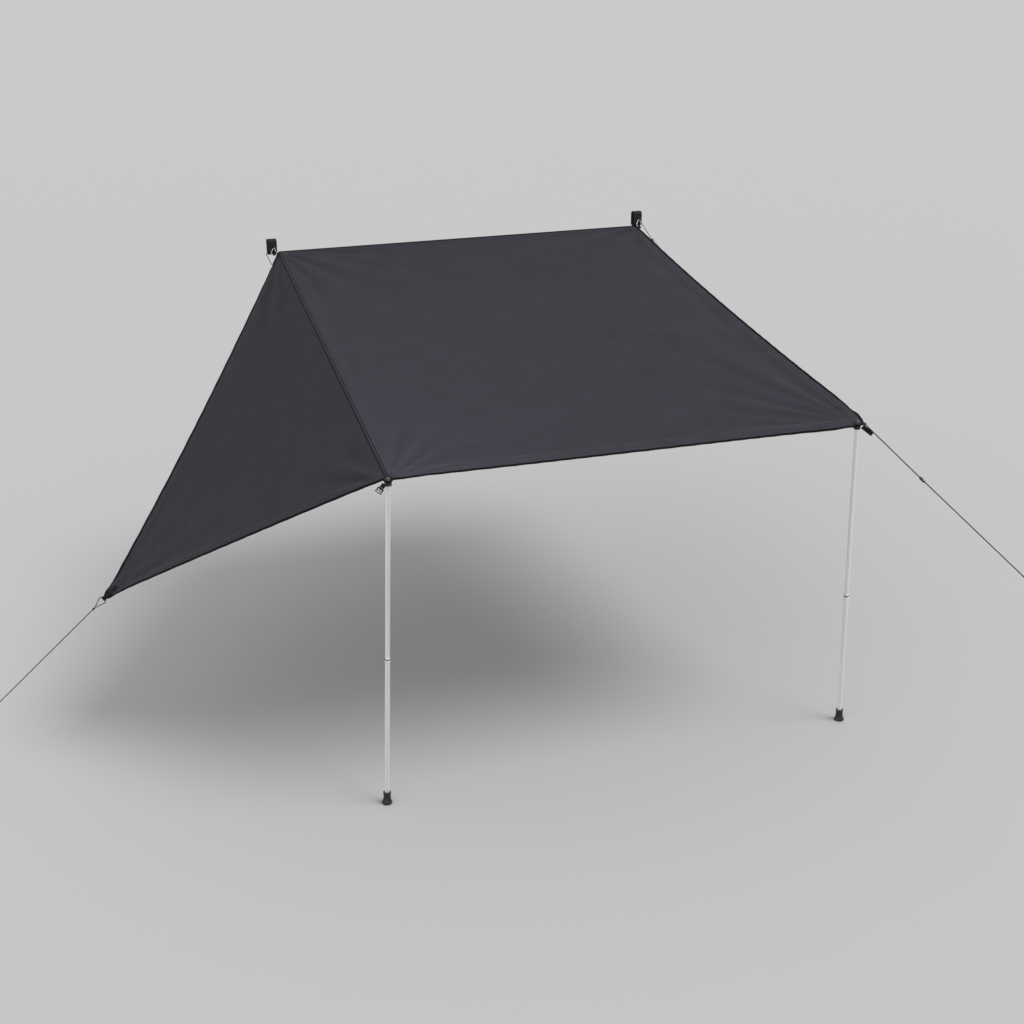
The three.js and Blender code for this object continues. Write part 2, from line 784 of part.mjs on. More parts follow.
// Bright hollow cap that covers a spigot; its foot stands on the eyelet or the disc
function spigotDome(name, x, foot) {
  const shell = (radius, top) => [0, 0.25, 0.5, 0.72, 0.9].map((share) => [
    radius * Math.sqrt(1 - share ** 2), lerp(domeBand, top, share),
  ]);
  const outer = half(domeDiameter);
  const inside = shell(outer - domeWall, domeHeight - domeWall).reverse();
  const profile = [
    [0, domeHeight - domeWall], ...inside, [outer - domeWall, 0],
    [outer, 0], ...shell(outer, domeHeight), [0, domeHeight],
  ];
  return piece(name, turned(profile, sides.cap).translate(x, 0, foot), brightSteel);
}
function guyDisc() {
  const rim = half(discDiameter);
  const round = discThickness / 4;
  const bore = half(discBore);
  return turned([
    [bore, 0], [rim - round, 0], [rim, round], [rim, discThickness - round], [rim - round, discThickness], [bore, discThickness],
  ], sides.cap).translate(frontWidth, 0, discUnder);
}

// Roof loop: a band of webbing with a keeper on its front for the corner ring
function roofLoop(name, side) {
  const outlineOf = (inset, bendShare) => {
    const [y, top, foot] = [half(loopDepth) - inset, -inset, inset - loopHeight];
    const corners = [vec(-y, top, 0), vec(y, top, 0), vec(y, foot, 0), vec(-y, foot, 0)];
    const bends = [loopTopRadius, loopTopRadius, loopFootRadius, loopFootRadius].map((bend) => bend - inset * bendShare);
    return roundedLoop(corners, bends, 5).map((point) => [point.x, point.y]);
  };
  const band = plate(outlineOf(0, 1), loopWidth, [outlineOf(loopThickness, 1)]);
  band.applyMatrix4(new THREE.Matrix4().makeBasis(vec(0, 1, 0), vec(0, 0, 1), vec(1, 0, 0)));
  const keeper = eye(ringWire, keeperWall, keeperWidth)
    .translate(ringShift, ringPlane, half(ringHeight - ringWire) - ringDrop);
  return group(vec(side.centre, 0, side.top), piece(name, join(band, keeper), webbing));
}

function cornerRing(name, side) {
  const [base, top, height] = [half(ringBase - ringWire), half(ringTop - ringWire), half(ringHeight - ringWire)];
  const corners = [vec(-base, 0, -height), vec(base, 0, -height), vec(top, 0, height), vec(-top, 0, height)];
  const bends = [ringBend, ringBend, half(ringBend), half(ringBend)];
  return group(ringCentre(side), piece(name, wireRing(roundedLoop(corners, bends), vec(0, 1, 0), ringWire), brightSteel));
}

function deltaRing() {
  const { centre, top } = loopSides.left;
  const bar = top - loopHeight + loopThickness + seatGap + half(deltaWire);
  const corners = [
    vec(centre - half(deltaBase), 0, bar),
    vec(centre + half(deltaBase), 0, bar),
    besideWing(deltaReach, deltaBeside),
  ];
  const normal = corners[1].clone().sub(corners[0]).cross(corners[2].clone().sub(corners[0])).normalize();
  return piece('delta_ring_left', wireRing(roundedLoop(corners, [deltaBend, deltaBend, half(deltaBend)]), normal, deltaWire), darkWire);
}

function linkCord() {
  const side = loopSides.right;
  const from = inRoof(vec(side.centre + half(loopWidth + linkDiameter) + linkDiameter, -linkDiameter, side.top - loopHeight + loopFootRadius));
  const to = edgeHook().start;
  const reach = to.clone().sub(from).normalize();
  const curve = new THREE.LineCurve3(from, to.clone().addScaledVector(reach, -2 * seatGap));
  return piece('link_cord_right', rod(curve, linkDiameter, 1), cordBlack);
}

// Wing: hangs from the crease and is pulled out at its tip
const roofUp = vec(0, -Math.sin(slopeAngle), Math.cos(slopeAngle));
const creaseWay = vec(creaseLean, projection, rise).normalize();
const wingOut = roofUp.clone().cross(creaseWay).normalize();
const wingWay = wingOut.clone().multiplyScalar(Math.cos(radians(wingDropAngle)))
  .addScaledVector(roofUp.clone().cross(creaseWay).cross(creaseWay).normalize(), Math.sin(radians(wingDropAngle)));
const wingUp = creaseWay.clone().cross(wingWay).normalize();
const heelWay = vec(-wingTip[0], -wingTip[1], 0).normalize();

// A place in the wing's plane, outside of its far edge
function besideWing(out, beside) {
  const edgeWay = vec(creaseLength - wingTip[0], -wingTip[1], 0).normalize();
  const place = vec(wingSide(out / wingLength) - edgeWay.y * beside, out + edgeWay.x * beside, 0);
  return spigotLeft.clone().addScaledVector(creaseWay, place.x).addScaledVector(wingWay, place.y);
}
const headWay = vec(creaseLength - wingTip[0], -wingTip[1], 0).normalize();
const tipInward = heelWay.clone().add(headWay).normalize();
const tipAcross = vec(0, 0, 1).cross(tipInward).normalize();
const tipBar = tipAcross.clone().applyAxisAngle(tipInward, radians(tabTwist));

const wingFans = [
  { x: 0, y: 0, flat: wingHeelRadius, reachShare: 1, heightShare: 1, folds: 12, turn: 0.5 },
  { x: creaseLength, y: 0, flat: wingHeadRadius, reachShare: 1.2, heightShare: 1, folds: 14, turn: 1.4 },
  { x: wingTip[0], y: wingTip[1], flat: tipPatchRadius, reachShare: 0.9, heightShare: 0.8, folds: 9, turn: 0.3 },
];

function wingRelief(x, y) {
  const out = THREE.MathUtils.clamp(y / wingLength, 0, 1);
  const left = lerp(wingHeel, wingTip[0], out);
  const right = lerp(creaseLength, wingTip[0], out);
  const across = THREE.MathUtils.clamp((x - left) / Math.max(right - left, tapeWidth), 0, 1);
  const belly = wingBelly * Math.sin(Math.PI * across) * Math.sin(Math.PI * out);
  const held = ease(y / fanStart);
  return held * wingFans.reduce((sum, corner) => sum + fan(x, y, corner), 0) - belly;
}

// Webbing tab: flat on the tip patch, then turned to face along its ring's bar
function tipTab() {
  const lift = half(patchThickness) + seatGap + half(tabThickness);
  const tip = vec(...wingTip, 0);
  const edge = wingTipCut * Math.cos(half(heelWay.angleTo(headWay))) - tabTurnLength / 4;
  const rows = [];
  const stops = [tabLength, lerp(tabLength, edge, 0.5), edge];
  for (const stop of stops) rows.push({ inward: stop, height: lift, turn: 0 });
  for (let step = 1; step <= bendSteps; step++) {
    const share = step / bendSteps;
    rows.push({ inward: lerp(edge, half(tipRingWire + tabThickness) + seatGap, share), height: lerp(lift, 0, share), turn: share * radians(tabTwist) });
  }
  const grid = rows.map(({ inward, height, turn }) => {
    const centre = tip.clone().addScaledVector(tipInward, inward).add(vec(0, 0, height));
    const way = tipAcross.clone().applyAxisAngle(tipInward, turn);
    return [-1, 1].map((side) => centre.clone().addScaledVector(way, side * half(tabWidth)));
  });
  const sleeve = eye(tipRingWire, tabThickness, tabWidth)
    .applyQuaternion(new THREE.Quaternion().setFromUnitVectors(vec(1, 0, 0), tipBar))
    .translate(tip.x, tip.y, 0);
  return join(sheet(grid, tabThickness), sleeve);
}

function wingPieces() {
  const outline = wingOutline();
  const clear = (value) => value + clothGap;
  const inner = inset(outline, { front: creaseGap, right: tapeWidth, rear: tapeWidth, left: tapeWidth });
  const cloth = inset(outline, { front: creaseGap, right: clear(tapeWidth), rear: clear(tapeWidth), left: clear(tapeWidth) });
  const corners = [[0, 0, wingHeelRadius], [creaseLength, 0, wingHeadRadius], [...wingTip, tipPatchRadius + seatGap]];
  const cutters = corners.map(([x, y, radius]) => patchCutter(x, y, radius));
  const tipPatch = common(outlinePlate(outline, patchThickness), patchCutter(...wingTip, tipPatchRadius));
  return [
    piece('wing_panel', cut(sheet(filled(cloth, wingRelief), fabricThickness), ...cutters), wingCloth),
    piece('tape_wing_lower', cut(tape(outline.left, inner.left, wingRelief), ...cutters), webbing),
    piece('tape_wing_side', cut(tape(outline.right, inner.right, wingRelief), ...cutters), webbing),
    piece('wing_tip_patch', tipPatch, wingCloth),
    piece('wing_tip_tab', tipTab(), webbing),
  ];
}

// Tip delta, its guyline and the hook at the end of the line, along the pull of the line
function tipPieces() {
  const [base, height] = [half(tipRingBase - tipRingWire), tipRingHeight - half(tipRingWire)];
  const apexBend = half(tipRingBend);
  const pointed = apexBend / Math.sin(Math.atan2(base, height)) - apexBend;
  const corners = [vec(-base, 0, 0), vec(base, 0, 0), vec(0, height + pointed, 0)];
  const ring = wireRing(roundedLoop(corners, [tipRingBend, tipRingBend, apexBend]), vec(0, 0, 1), tipRingWire);
  const start = height + half(tipRingWire) + seatGap;
  const end = start + leftGuyLength;
  const line = new THREE.LineCurve3(vec(0, start, 0), vec(0, end, 0));
  return [
    piece('wing_delta_ring', ring, darkWire),
    piece('guyline_left', rod(line, leftGuyDiameter, leftGuySteps), cordBlack),
    guyHook('guy_hook_left', leftGuyDiameter, vec(0, end, 0), vec(0, 1, 0), vec(1, 0, 0)),
  ];
}

// Hook at the far end of a guyline: a crimped socket and a round bend
function guyHook(name, cord, end, way, side) {
  const bore = half(cord) + seatGap;
  const outer = bore + crimpWall;
  const floor = ferruleLength - crimpWall;
  const back = -(ferruleLength / 2);
  const socket = turned([
    [0, floor + back], [bore, floor + back], [bore, back], [outer, back], [outer, ferruleLength + back], [0, ferruleLength + back],
  ], sides.cord * 2);
  const bend = new THREE.EllipseCurve(0, 0, guyHookBend, guyHookBend, Math.PI, -Math.PI / 4, true);
  const points = bend.getPoints(3 * bendSteps).map(({ x, y }) => vec(x + guyHookBend, 0, ferruleLength + back + half(guyHookBend) + y));
  const shank = new THREE.CatmullRomCurve3([vec(0, 0, ferruleLength + back - crimpWall / 2), ...points]);
  const geometry = join(socket, rod(shank, guyHookWire, 5 * bendSteps));
  geometry.translate(0, 0, -(floor + back) + seatGap);
  return framed(end, side, way.clone().cross(side), way, piece(name, geometry, darkWire));
}

// Right guyline from the disc through the tensioner and out of the view
function rightGuy() {
  const [turn, middle, out] = [rightGuyTurn, tensionerPlace, rightGuyLeaving].map((place) => spigotRight.clone().add(vec(...place)));
  const flat = vec(rightGuyTurn[0], rightGuyTurn[1], 0).setLength(rightGuyTieRadius);
  const start = flat.applyAxisAngle(vec(1, 0, 0), slopeAngle).add(spigotRight)
    .addScaledVector(roofUp, discUnder + discThickness + seatGap + half(rightGuyDiameter));
  const way = out.clone().sub(middle).normalize();
  const end = out.clone().addScaledVector(way, rightGuyBeyond);
  const route = new THREE.CurvePath();
  route.add(new THREE.LineCurve3(start, turn));
  route.add(new THREE.LineCurve3(turn, middle));
  route.add(new THREE.LineCurve3(middle, end));
  const side = vec(0, 0, 1).cross(way).normalize();
  const hole = rightGuyDiameter + 2 * slideGap;
  const body = roundedLoop([
    vec(-half(tensionerWidth), 0, 0), vec(half(tensionerWidth), 0, 0),
    vec(half(tensionerWidth), tensionerLength, 0), vec(-half(tensionerWidth), tensionerLength, 0),
  ], tensionerWidth / 2.2, bendSteps).map(({ x, y }) => [x, y]);
  const bore = drum(hole, tensionerLength + 2 * overrun, vec(0, 0, 0)).rotateX(Math.PI / 2).translate(0, half(tensionerLength), 0);
  const tensioner = cut(plate(body, tensionerThickness), bore);
  const up = side.clone().cross(way).normalize();
  return [
    piece('guyline_right', rod(route, rightGuyDiameter, rightGuySteps), cordBlack),
    framed(middle.clone().addScaledVector(way, overrun), side, way, side.clone().cross(way), piece('guy_tensioner_right', tensioner, blackPlastic)),
    guyHook('guy_hook_right', rightGuyDiameter, end, way, up),
  ];
}

// The fold of the strap turns round the square near bar of the buckle
const buckleBarRound = Math.hypot(buckleBar, buckleThickness);
const tailEyeReach = half(buckleBarRound) + 2 * seatGap;

// Webbing tails: a strap from the corner patch; the left one ends in a square buckle
function tail(name, length, eyed) {
  const round = tailWidth / 4;
  const foot = eyed ? [[half(tailWidth), length], [-half(tailWidth), length]]
    : [[half(tailWidth), length - round], [half(tailWidth) - round, length], [round - half(tailWidth), length], [-half(tailWidth), length - round]];
  const strap = plate([[-half(tailWidth), 0], [half(tailWidth), 0], ...foot], tailThickness);
  if (!eyed) return piece(name, strap, webbing);
  const fold = eye(buckleBarRound, tailEyeWall, tailWidth).translate(0, length + tailEyeReach, 0);
  return piece(name, join(strap, fold), webbing);
}

function buckle() {
  const [width, length] = [half(buckleWidth), buckleLength];
  const frame = roundedLoop([vec(-width, 0, 0), vec(width, 0, 0), vec(width, length, 0), vec(-width, length, 0)], buckleRound)
    .map(({ x, y }) => [x, y]);
  const slotWidth = width - buckleBar;
  const slot = (from, to) => [[-slotWidth, from], [slotWidth, from], [slotWidth, to], [-slotWidth, to]];
  const middle = half(length);
  const slots = [slot(buckleBar, middle - half(buckleBar)), slot(middle + half(buckleBar), length - buckleBar)];
  return plate(frame, buckleThickness, slots);
}

// Pole pieces stand on z = 0 at the ground and end at the spigot's pivot
const poleLength = Math.hypot(poleLean, spigotHeight);

function upperTube(joint, top, buttonHole) {
  const [inner, outer] = [half(upperTubeDiameter) - upperTubeWall, half(upperTubeDiameter)];
  const bead = half(beadDiameter);
  const beadFoot = joint + beadGap;
  const round = beadHeight / 4;
  const profile = [
    [inner, joint - plugLength], [outer, joint - plugLength], [outer, beadFoot], [bead - round, beadFoot],
    [bead, beadFoot + round], [bead, beadFoot + beadHeight - round], [bead - round, beadFoot + beadHeight],
    [outer, beadFoot + beadHeight], [outer, top], [inner, top],
  ];
  return cut(turned(profile, sides.tube), buttonHole);
}

function lowerTube(joint, buttonHole) {
  const [inner, outer] = [half(lowerTubeDiameter) - lowerTubeWall, half(lowerTubeDiameter)];
  const profile = [[inner, footSole + seatGap], [outer, footSole + seatGap], [outer, joint], [inner, joint]];
  return cut(turned(profile, sides.tube), buttonHole);
}

// Ferrule over the end of the lower tube, with two grooves round it
function ferrule(joint) {
  const [seat, outer] = [half(lowerTubeDiameter) + seatGap, half(ferruleDiameter)];
  const lip = half(upperTubeDiameter) + slideGap;
  const foot = joint + seatGap + ferruleLip - ferruleHeight;
  const top = foot + ferruleHeight;
  const pitch = ferruleHeight / 6;
  const ring = [1, 3].flatMap((step) => [
    [outer, foot + pitch * step], [outer - ferruleGroove, foot + pitch * (step + 0.25)],
    [outer - ferruleGroove, foot + pitch * (step + 0.75)], [outer, foot + pitch * (step + 1)],
  ]);
  return turned([
    [seat, foot], [outer, foot], ...ring, [outer, top], [lip, top], [lip, joint + seatGap], [seat, joint + seatGap],
  ], sides.tube);
}

// Cap with a sloping shoulder, so that the pole can lean under the eyelet
function topCap() {
  const shoulder = Math.tan(radians(capShoulderAngle));
  const [pin, outer, seat] = [half(spigotDiameter) + seatGap, half(capDiameter), half(upperTubeDiameter) + seatGap];
  const peak = poleLength - capClear - pin * shoulder;
  const rim = poleLength - capClear - outer * shoulder;
  const ceiling = rim - capRib;
  const foot = ceiling - capSkirt;
  const rib = capSkirt / 5;
  const ribs = [1, 3].flatMap((step) => [
    [outer, foot + rib * step], [outer - capRib, foot + rib * (step + 0.3)],
    [outer - capRib, foot + rib * (step + 0.7)], [outer, foot + rib * (step + 1)],
  ]);
  return turned([[seat, foot], [outer, foot], ...ribs, [outer, rim], [pin, peak], [pin, ceiling], [seat, ceiling]], sides.cap);
}

const capCeiling = poleLength - capClear - half(capDiameter) * Math.tan(radians(capShoulderAngle)) - capRib;

// Spigot: a headed pin with a ball at the eyelet, so that the corner can rock on it
function spigot() {
  const shank = half(spigotDiameter);
  const ball = half(eyeletBore) - seatGap;
  const head = half(spigotHeadDiameter);
  const headTop = capCeiling - seatGap;
  const belt = [-0.75, -0.5, -0.25, 0, 0.25, 0.5, 0.75]
    .map((share) => [Math.max(shank, ball * Math.cos(Math.asin(share))), poleLength + ball * share]);
  const tipRound = [0.5, 0.8, 0.95].map((share) => [
    shank * Math.sqrt(1 - share ** 2), poleLength + spigotAbove - shank + shank * share,
  ]);
  return turned([
    [0, headTop - spigotHeadHeight], [head, headTop - spigotHeadHeight], [head, headTop], [shank, headTop],
    ...belt, [shank, poleLength + spigotAbove - shank], ...tipRound, [0, poleLength + spigotAbove],
  ], 16);
}

// Rubber foot: a flared boot with a ring round its waist
function boot() {
  const [sole, waist, neck] = [half(footDiameter), half(footWaistDiameter), half(footNeckDiameter)];
  const seat = half(lowerTubeDiameter) + seatGap;
  const flare = footRingHeight - footRingWidth;
  return turned([
    [0, 0], [sole - footEdge, 0], [sole, footEdge], [sole, footEdge * 2], [lerp(sole, waist, 0.55), lerp(footEdge * 2, flare, 0.45)],
    [waist, flare], [waist, footRingHeight - half(footRingWidth)], [waist + footRingProud, footRingHeight],
    [waist, footRingHeight + half(footRingWidth)], [lerp(waist, neck, 0.5), footHeight - 3 * footEdge],
    [neck, footHeight - 2 * footEdge], [neck, footHeight - half(footEdge)], [neck - half(footEdge), footHeight],
    [seat, footHeight], [seat, footSole], [0, footSole],
  ], sides.cap);
}

// Snap button on its flat leaf, and the bent spring that pushes it out
function snapButton(height) {
  const wall = half(upperTubeDiameter) - upperTubeWall;
  const face = wall - 2 * leafThickness;
  const reach = half(lowerTubeDiameter) + buttonProud;
  const shank = half(buttonDiameter);
  const round = shank / 3;
  const pin = turned([
    [0, face - half(leafThickness)], [shank, face - half(leafThickness)], [shank, reach - round], [shank - round, reach], [0, reach],
  ], 16).rotateX(Math.PI / 2).translate(0, 0, height);
  const leaf = new THREE.BoxGeometry(leafWidth, leafThickness, leafLength);
  leaf.translate(0, half(leafThickness) - face, height - half(leafLength) + buttonDiameter);
  return join(leaf, pin);
}

function buttonSpring(height) {
  const back = half(upperTubeDiameter) - upperTubeWall - 2 * leafThickness;
  const top = height + buttonDiameter;
  const foot = top - springLength;
  const bend = back / 2;
  const front = -(back - buttonTravel - leafThickness * 2);
  const centre = half(back + front);
  const radius = half(back - front);
  const path = [[back, top], [back, foot + radius]];
  for (let step = 1; step < 2 * bendSteps; step++) {
    const turn = Math.PI * step / (2 * bendSteps);
    path.push([centre + radius * Math.cos(turn), foot + radius - radius * Math.sin(turn)]);
  }
  path.push([front, foot + radius], [front, height + buttonDiameter - leafLength - bend]);
  const grid = path.map(([y, z]) => [-1, 1].map((side) => vec(side * half(leafWidth), y, z)));
  return sheet(grid, leafThickness);
}

const buttonBore = (height, clearance) => drum(buttonDiameter + 2 * clearance, capDiameter, vec(0, 0, 0), 16)
  .rotateX(Math.PI / 2)
  .translate(0, -half(capDiameter) - half(upperTubeDiameter) + 2 * overrun, height);

function pole(side, spigotPoint, lean, joint, buttonTurn) {
  const top = capCeiling - seatGap;
  const height = joint - buttonDrop;
  const hole = buttonBore(height, slideGap);
  const up = vec(lean, 0, spigotHeight).normalize();
  const across = vec(0, 1, 0).cross(up).normalize();
  const base = spigotPoint.clone().addScaledVector(up, -poleLength);
  const turnedPieces = new THREE.Group().add(
    piece(`upper_tube_${side}`, upperTube(joint, top, hole), aluminium),
    piece(`lower_tube_${side}`, lowerTube(joint, hole), aluminium),
    piece(`snap_button_${side}`, snapButton(height), brightSteel),
    piece(`button_spring_${side}`, buttonSpring(height), brightSteel),
  );
  turnedPieces.rotation.z = radians(buttonTurn);
  return framed(
    base, across, vec(0, 1, 0), up,
    turnedPieces,
    piece(`joint_ferrule_${side}`, ferrule(joint), aluminium),
    piece(`top_cap_${side}`, topCap(), blackPlastic),
    piece(`spigot_pin_${side}`, spigot(), brightSteel),
    piece(`foot_${side}`, boot(), rubber),
  );
}

function tails() {
  const leftWay = vec(-0.65, 0, -0.76).normalize();
  const leftAcross = vec(0, 1, 0).cross(leftWay).normalize();
  const rightWay = vec(0.675, -0.476, -0.563).normalize();
  const rightAcross = vec(0.62, 0.13, 0.76).projectOnPlane(rightWay).normalize();
  const leftPlace = spigotLeft.clone().add(vec(...leftTailPlace));
  const bucklePlace = leftPlace.clone().addScaledVector(leftWay, leftTailLength + tailEyeReach - half(buckleBar));
  return [
    framed(leftPlace, leftAcross, leftWay, leftAcross.clone().cross(leftWay), tail('tail_strap_left', leftTailLength, true)),
    framed(bucklePlace, leftAcross, leftWay, leftAcross.clone().cross(leftWay), piece('tail_buckle_left', buckle(), blackPlastic)),
    framed(spigotRight.clone().add(vec(...rightTailPlace)), rightAcross, rightWay, rightAcross.clone().cross(rightWay),
      tail('tail_strap_right', rightTailLength, false)),
  ];
}

const awning = new THREE.Group();
const roofNormal = roofUp.clone();
const roofSlope = vec(0, Math.cos(slopeAngle), Math.sin(slopeAngle));
awning.add(framed(spigotLeft, vec(1, 0, 0), roofSlope, roofNormal, ...roofPieces(), linkCord()));
awning.add(roofLoop('roof_loop_left', loopSides.left), roofLoop('roof_loop_right', loopSides.right));
awning.add(cornerRing('corner_ring_left', loopSides.left), cornerRing('corner_ring_right', loopSides.right), deltaRing());
const wing = framed(spigotLeft, creaseWay, wingWay, wingUp, ...wingPieces());
const tipOut = tipInward.clone().negate();
wing.add(framed(vec(...wingTip, 0), tipBar, tipOut, tipBar.clone().cross(tipOut), ...tipPieces()));
awning.add(wing);
awning.add(pole('left', spigotLeft, poleLean, leftJointHeight, leftButtonTurn));
awning.add(pole('right', spigotRight, -poleLean, rightJointHeight, rightButtonTurn));
awning.add(...tails(), ...rightGuy());

export default awning;
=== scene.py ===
"""Dresses the side awning: cloth, webbing, wires, poles and cords, with a camera and a plain studio.

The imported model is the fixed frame. Lengths are metres, +X along the vehicle, -Y out to the poles, +Z up.
"""

import logging
import math
from dataclasses import dataclass, field
from enum import Enum
from typing import Callable, Sequence

import bmesh
import bpy
import numpy as np
from mathutils import Matrix, Vector


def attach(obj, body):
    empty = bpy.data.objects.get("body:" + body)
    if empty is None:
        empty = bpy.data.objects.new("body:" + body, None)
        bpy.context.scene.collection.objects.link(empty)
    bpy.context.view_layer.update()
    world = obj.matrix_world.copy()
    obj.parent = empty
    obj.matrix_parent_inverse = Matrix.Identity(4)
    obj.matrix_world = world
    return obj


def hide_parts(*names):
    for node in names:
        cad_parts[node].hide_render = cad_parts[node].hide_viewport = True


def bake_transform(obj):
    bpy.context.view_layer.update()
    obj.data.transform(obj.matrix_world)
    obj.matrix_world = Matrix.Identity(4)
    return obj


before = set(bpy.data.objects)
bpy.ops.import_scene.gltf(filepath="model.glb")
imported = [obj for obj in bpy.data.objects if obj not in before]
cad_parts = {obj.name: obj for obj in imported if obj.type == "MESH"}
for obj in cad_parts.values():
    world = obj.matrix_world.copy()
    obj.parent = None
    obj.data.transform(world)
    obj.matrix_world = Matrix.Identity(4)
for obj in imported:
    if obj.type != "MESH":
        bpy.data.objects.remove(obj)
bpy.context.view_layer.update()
log = logging.getLogger("awning")

Many = np.ndarray
Plan = tuple[Many, Many]
Three = tuple[float, float, float]
Piece = bpy.types.Object

ALONG = Vector((1, 0, 0))  # the direction along the vehicle
CLOTH_UV = "cloth"  # the layer that holds the lengths along and across a cloth
TURN = 2 * math.pi
MERGE = 1e-6  # points nearer than this are one
CLEARANCE = 0.0003  # what two parts that only lie beside each other keep between them
BINDING_OVER = 0.0009  # how far a binding reaches past its cloth
SEAM_INSET = 0.0042  # from a hem's inner edge to its seam
STITCH_LIFT = 0.0001  # how far stitches stand off a face
HEM_ROUNDING = 0.0004
HEM_COLUMN = 0.008  # the width of a face across a hem
FOLD_FULL = 0.004  # the height of a fold that lightens the cloth by one step, partly crease wear and partly painted fold light
FOLD_MOST = 1.5  # the most steps that a fold does


# ---------------------------------------------------------------- places and axes


@dataclass(frozen=True)
class Axes:
    """Right-handed axes at a point of the part."""

    origin: Vector
    x: Vector
    y: Vector
    z: Vector

    def at(self, x: float, y: float, z: float = 0.0) -> Vector:
        """Returns the point of the part at these local lengths."""
        return self.origin + x * self.x + y * self.y + z * self.z

    def way(self, x: float, y: float, z: float = 0.0) -> Vector:
        """Returns a local direction as a direction of the part."""
        return x * self.x + y * self.y + z * self.z

    def local(self, point: Vector) -> Vector:
        """Returns a point of the part in local lengths."""
        off = point - self.origin
        return Vector((off.dot(self.x), off.dot(self.y), off.dot(self.z)))

    def places(self, x: Many, y: Many, z: Many) -> Many:
        """Returns many local points as rows of part coordinates."""
        rows = [np.outer(value, np.array(axis)) for value, axis in ((x, self.x), (y, self.y), (z, self.z))]
        return np.array(self.origin) + rows[0] + rows[1] + rows[2]

    def moved(self, x: float, y: float = 0.0, z: float = 0.0) -> "Axes":
        """Returns the same directions at another local point."""
        return Axes(self.at(x, y, z), self.x, self.y, self.z)

    def matrix(self) -> Matrix:
        """Returns the matrix that takes local points to the part."""
        turn = Matrix((self.x, self.y, self.z)).transposed().to_4x4()
        return Matrix.Translation(self.origin) @ turn


def upright(origin: Vector, way: Vector, across: Vector = ALONG) -> Axes:
    """Makes axes whose z follows a direction.

    Args:
        origin: Where the axes stand.
        way: The direction of z.
        across: A direction near that of x.

    Returns:
        The axes.
    """
    z = way.normalized()
    y = z.cross(across).normalized()
    return Axes(origin, y.cross(z), y, z)


def ease(value: Many) -> Many:
    """Returns a smooth ramp from 0 to 1."""
    held = np.clip(value, 0.0, 1.0)
    return held * held * (3 - 2 * held)


def between(low: Many, high: Many, share: Many) -> Many:
    """Returns the value at a share of the way from low to high."""
    return low + (high - low) * share


# ---------------------------------------------------------------- shader nodes


class Socket:
    """The output of a shader node, with arithmetic that adds Math nodes."""

    def __init__(self, tree: "Tree", link: bpy.types.NodeSocket) -> None:
        """Keeps the socket and the tree that it belongs to."""
        self.tree = tree
        self.link = link

    def math(self, operation: str, *others: "Socket | float") -> "Socket":
        """Returns the result of a Math node on this socket and others."""
        return self.tree.maths(operation, self, *others)

    def __add__(self, other: "Socket | float") -> "Socket":
        """Adds."""
        return self.math("ADD", other)

    def __radd__(self, other: float) -> "Socket":
        """Adds to a number."""
        return self.math("ADD", other)

    def __sub__(self, other: "Socket | float") -> "Socket":
        """Subtracts."""
        return self.math("SUBTRACT", other)

    def __rsub__(self, other: float) -> "Socket":
        """Subtracts from a number."""
        return self.tree.maths("SUBTRACT", other, self)

    def __mul__(self, other: "Socket | float") -> "Socket":
        """Multiplies."""
        return self.math("MULTIPLY", other)

    def __rmul__(self, other: float) -> "Socket":
        """Multiplies a number."""
        return self.math("MULTIPLY", other)

    def sine(self) -> "Socket":
        """Returns the sine."""
        return self.math("SINE")

    def size(self) -> "Socket":
        """Returns the value without its sign."""
        return self.math("ABSOLUTE")

    def ramp(self, low: float, high: float, start: float, end: float) -> "Socket":
        """Returns a smooth ramp.

        Args:
            low: Where it starts.
            high: Where it ends.
            start: Its value up to where it starts.
            end: Its value from where it ends.

        Returns:
            The ramp.
        """
        ends = {"From Min": low, "From Max": high, "To Min": start, "To Max": end}
        return self.tree.node(
            "ShaderNodeMapRange", {"interpolation_type": "SMOOTHSTEP"}, {"Value": self, **ends},
        )

    def step(self, low: float, high: float) -> "Socket":
        """Returns a smooth step from 0 at low to 1 at high."""
        return self.ramp(low, high, 0.0, 1.0)

    def bell(self, centre: float, width: float) -> "Socket":
        """Returns a soft hill that is 1 at a centre and 0 beyond a width."""
        return 1.0 - (self - centre).size().step(0.0, width)


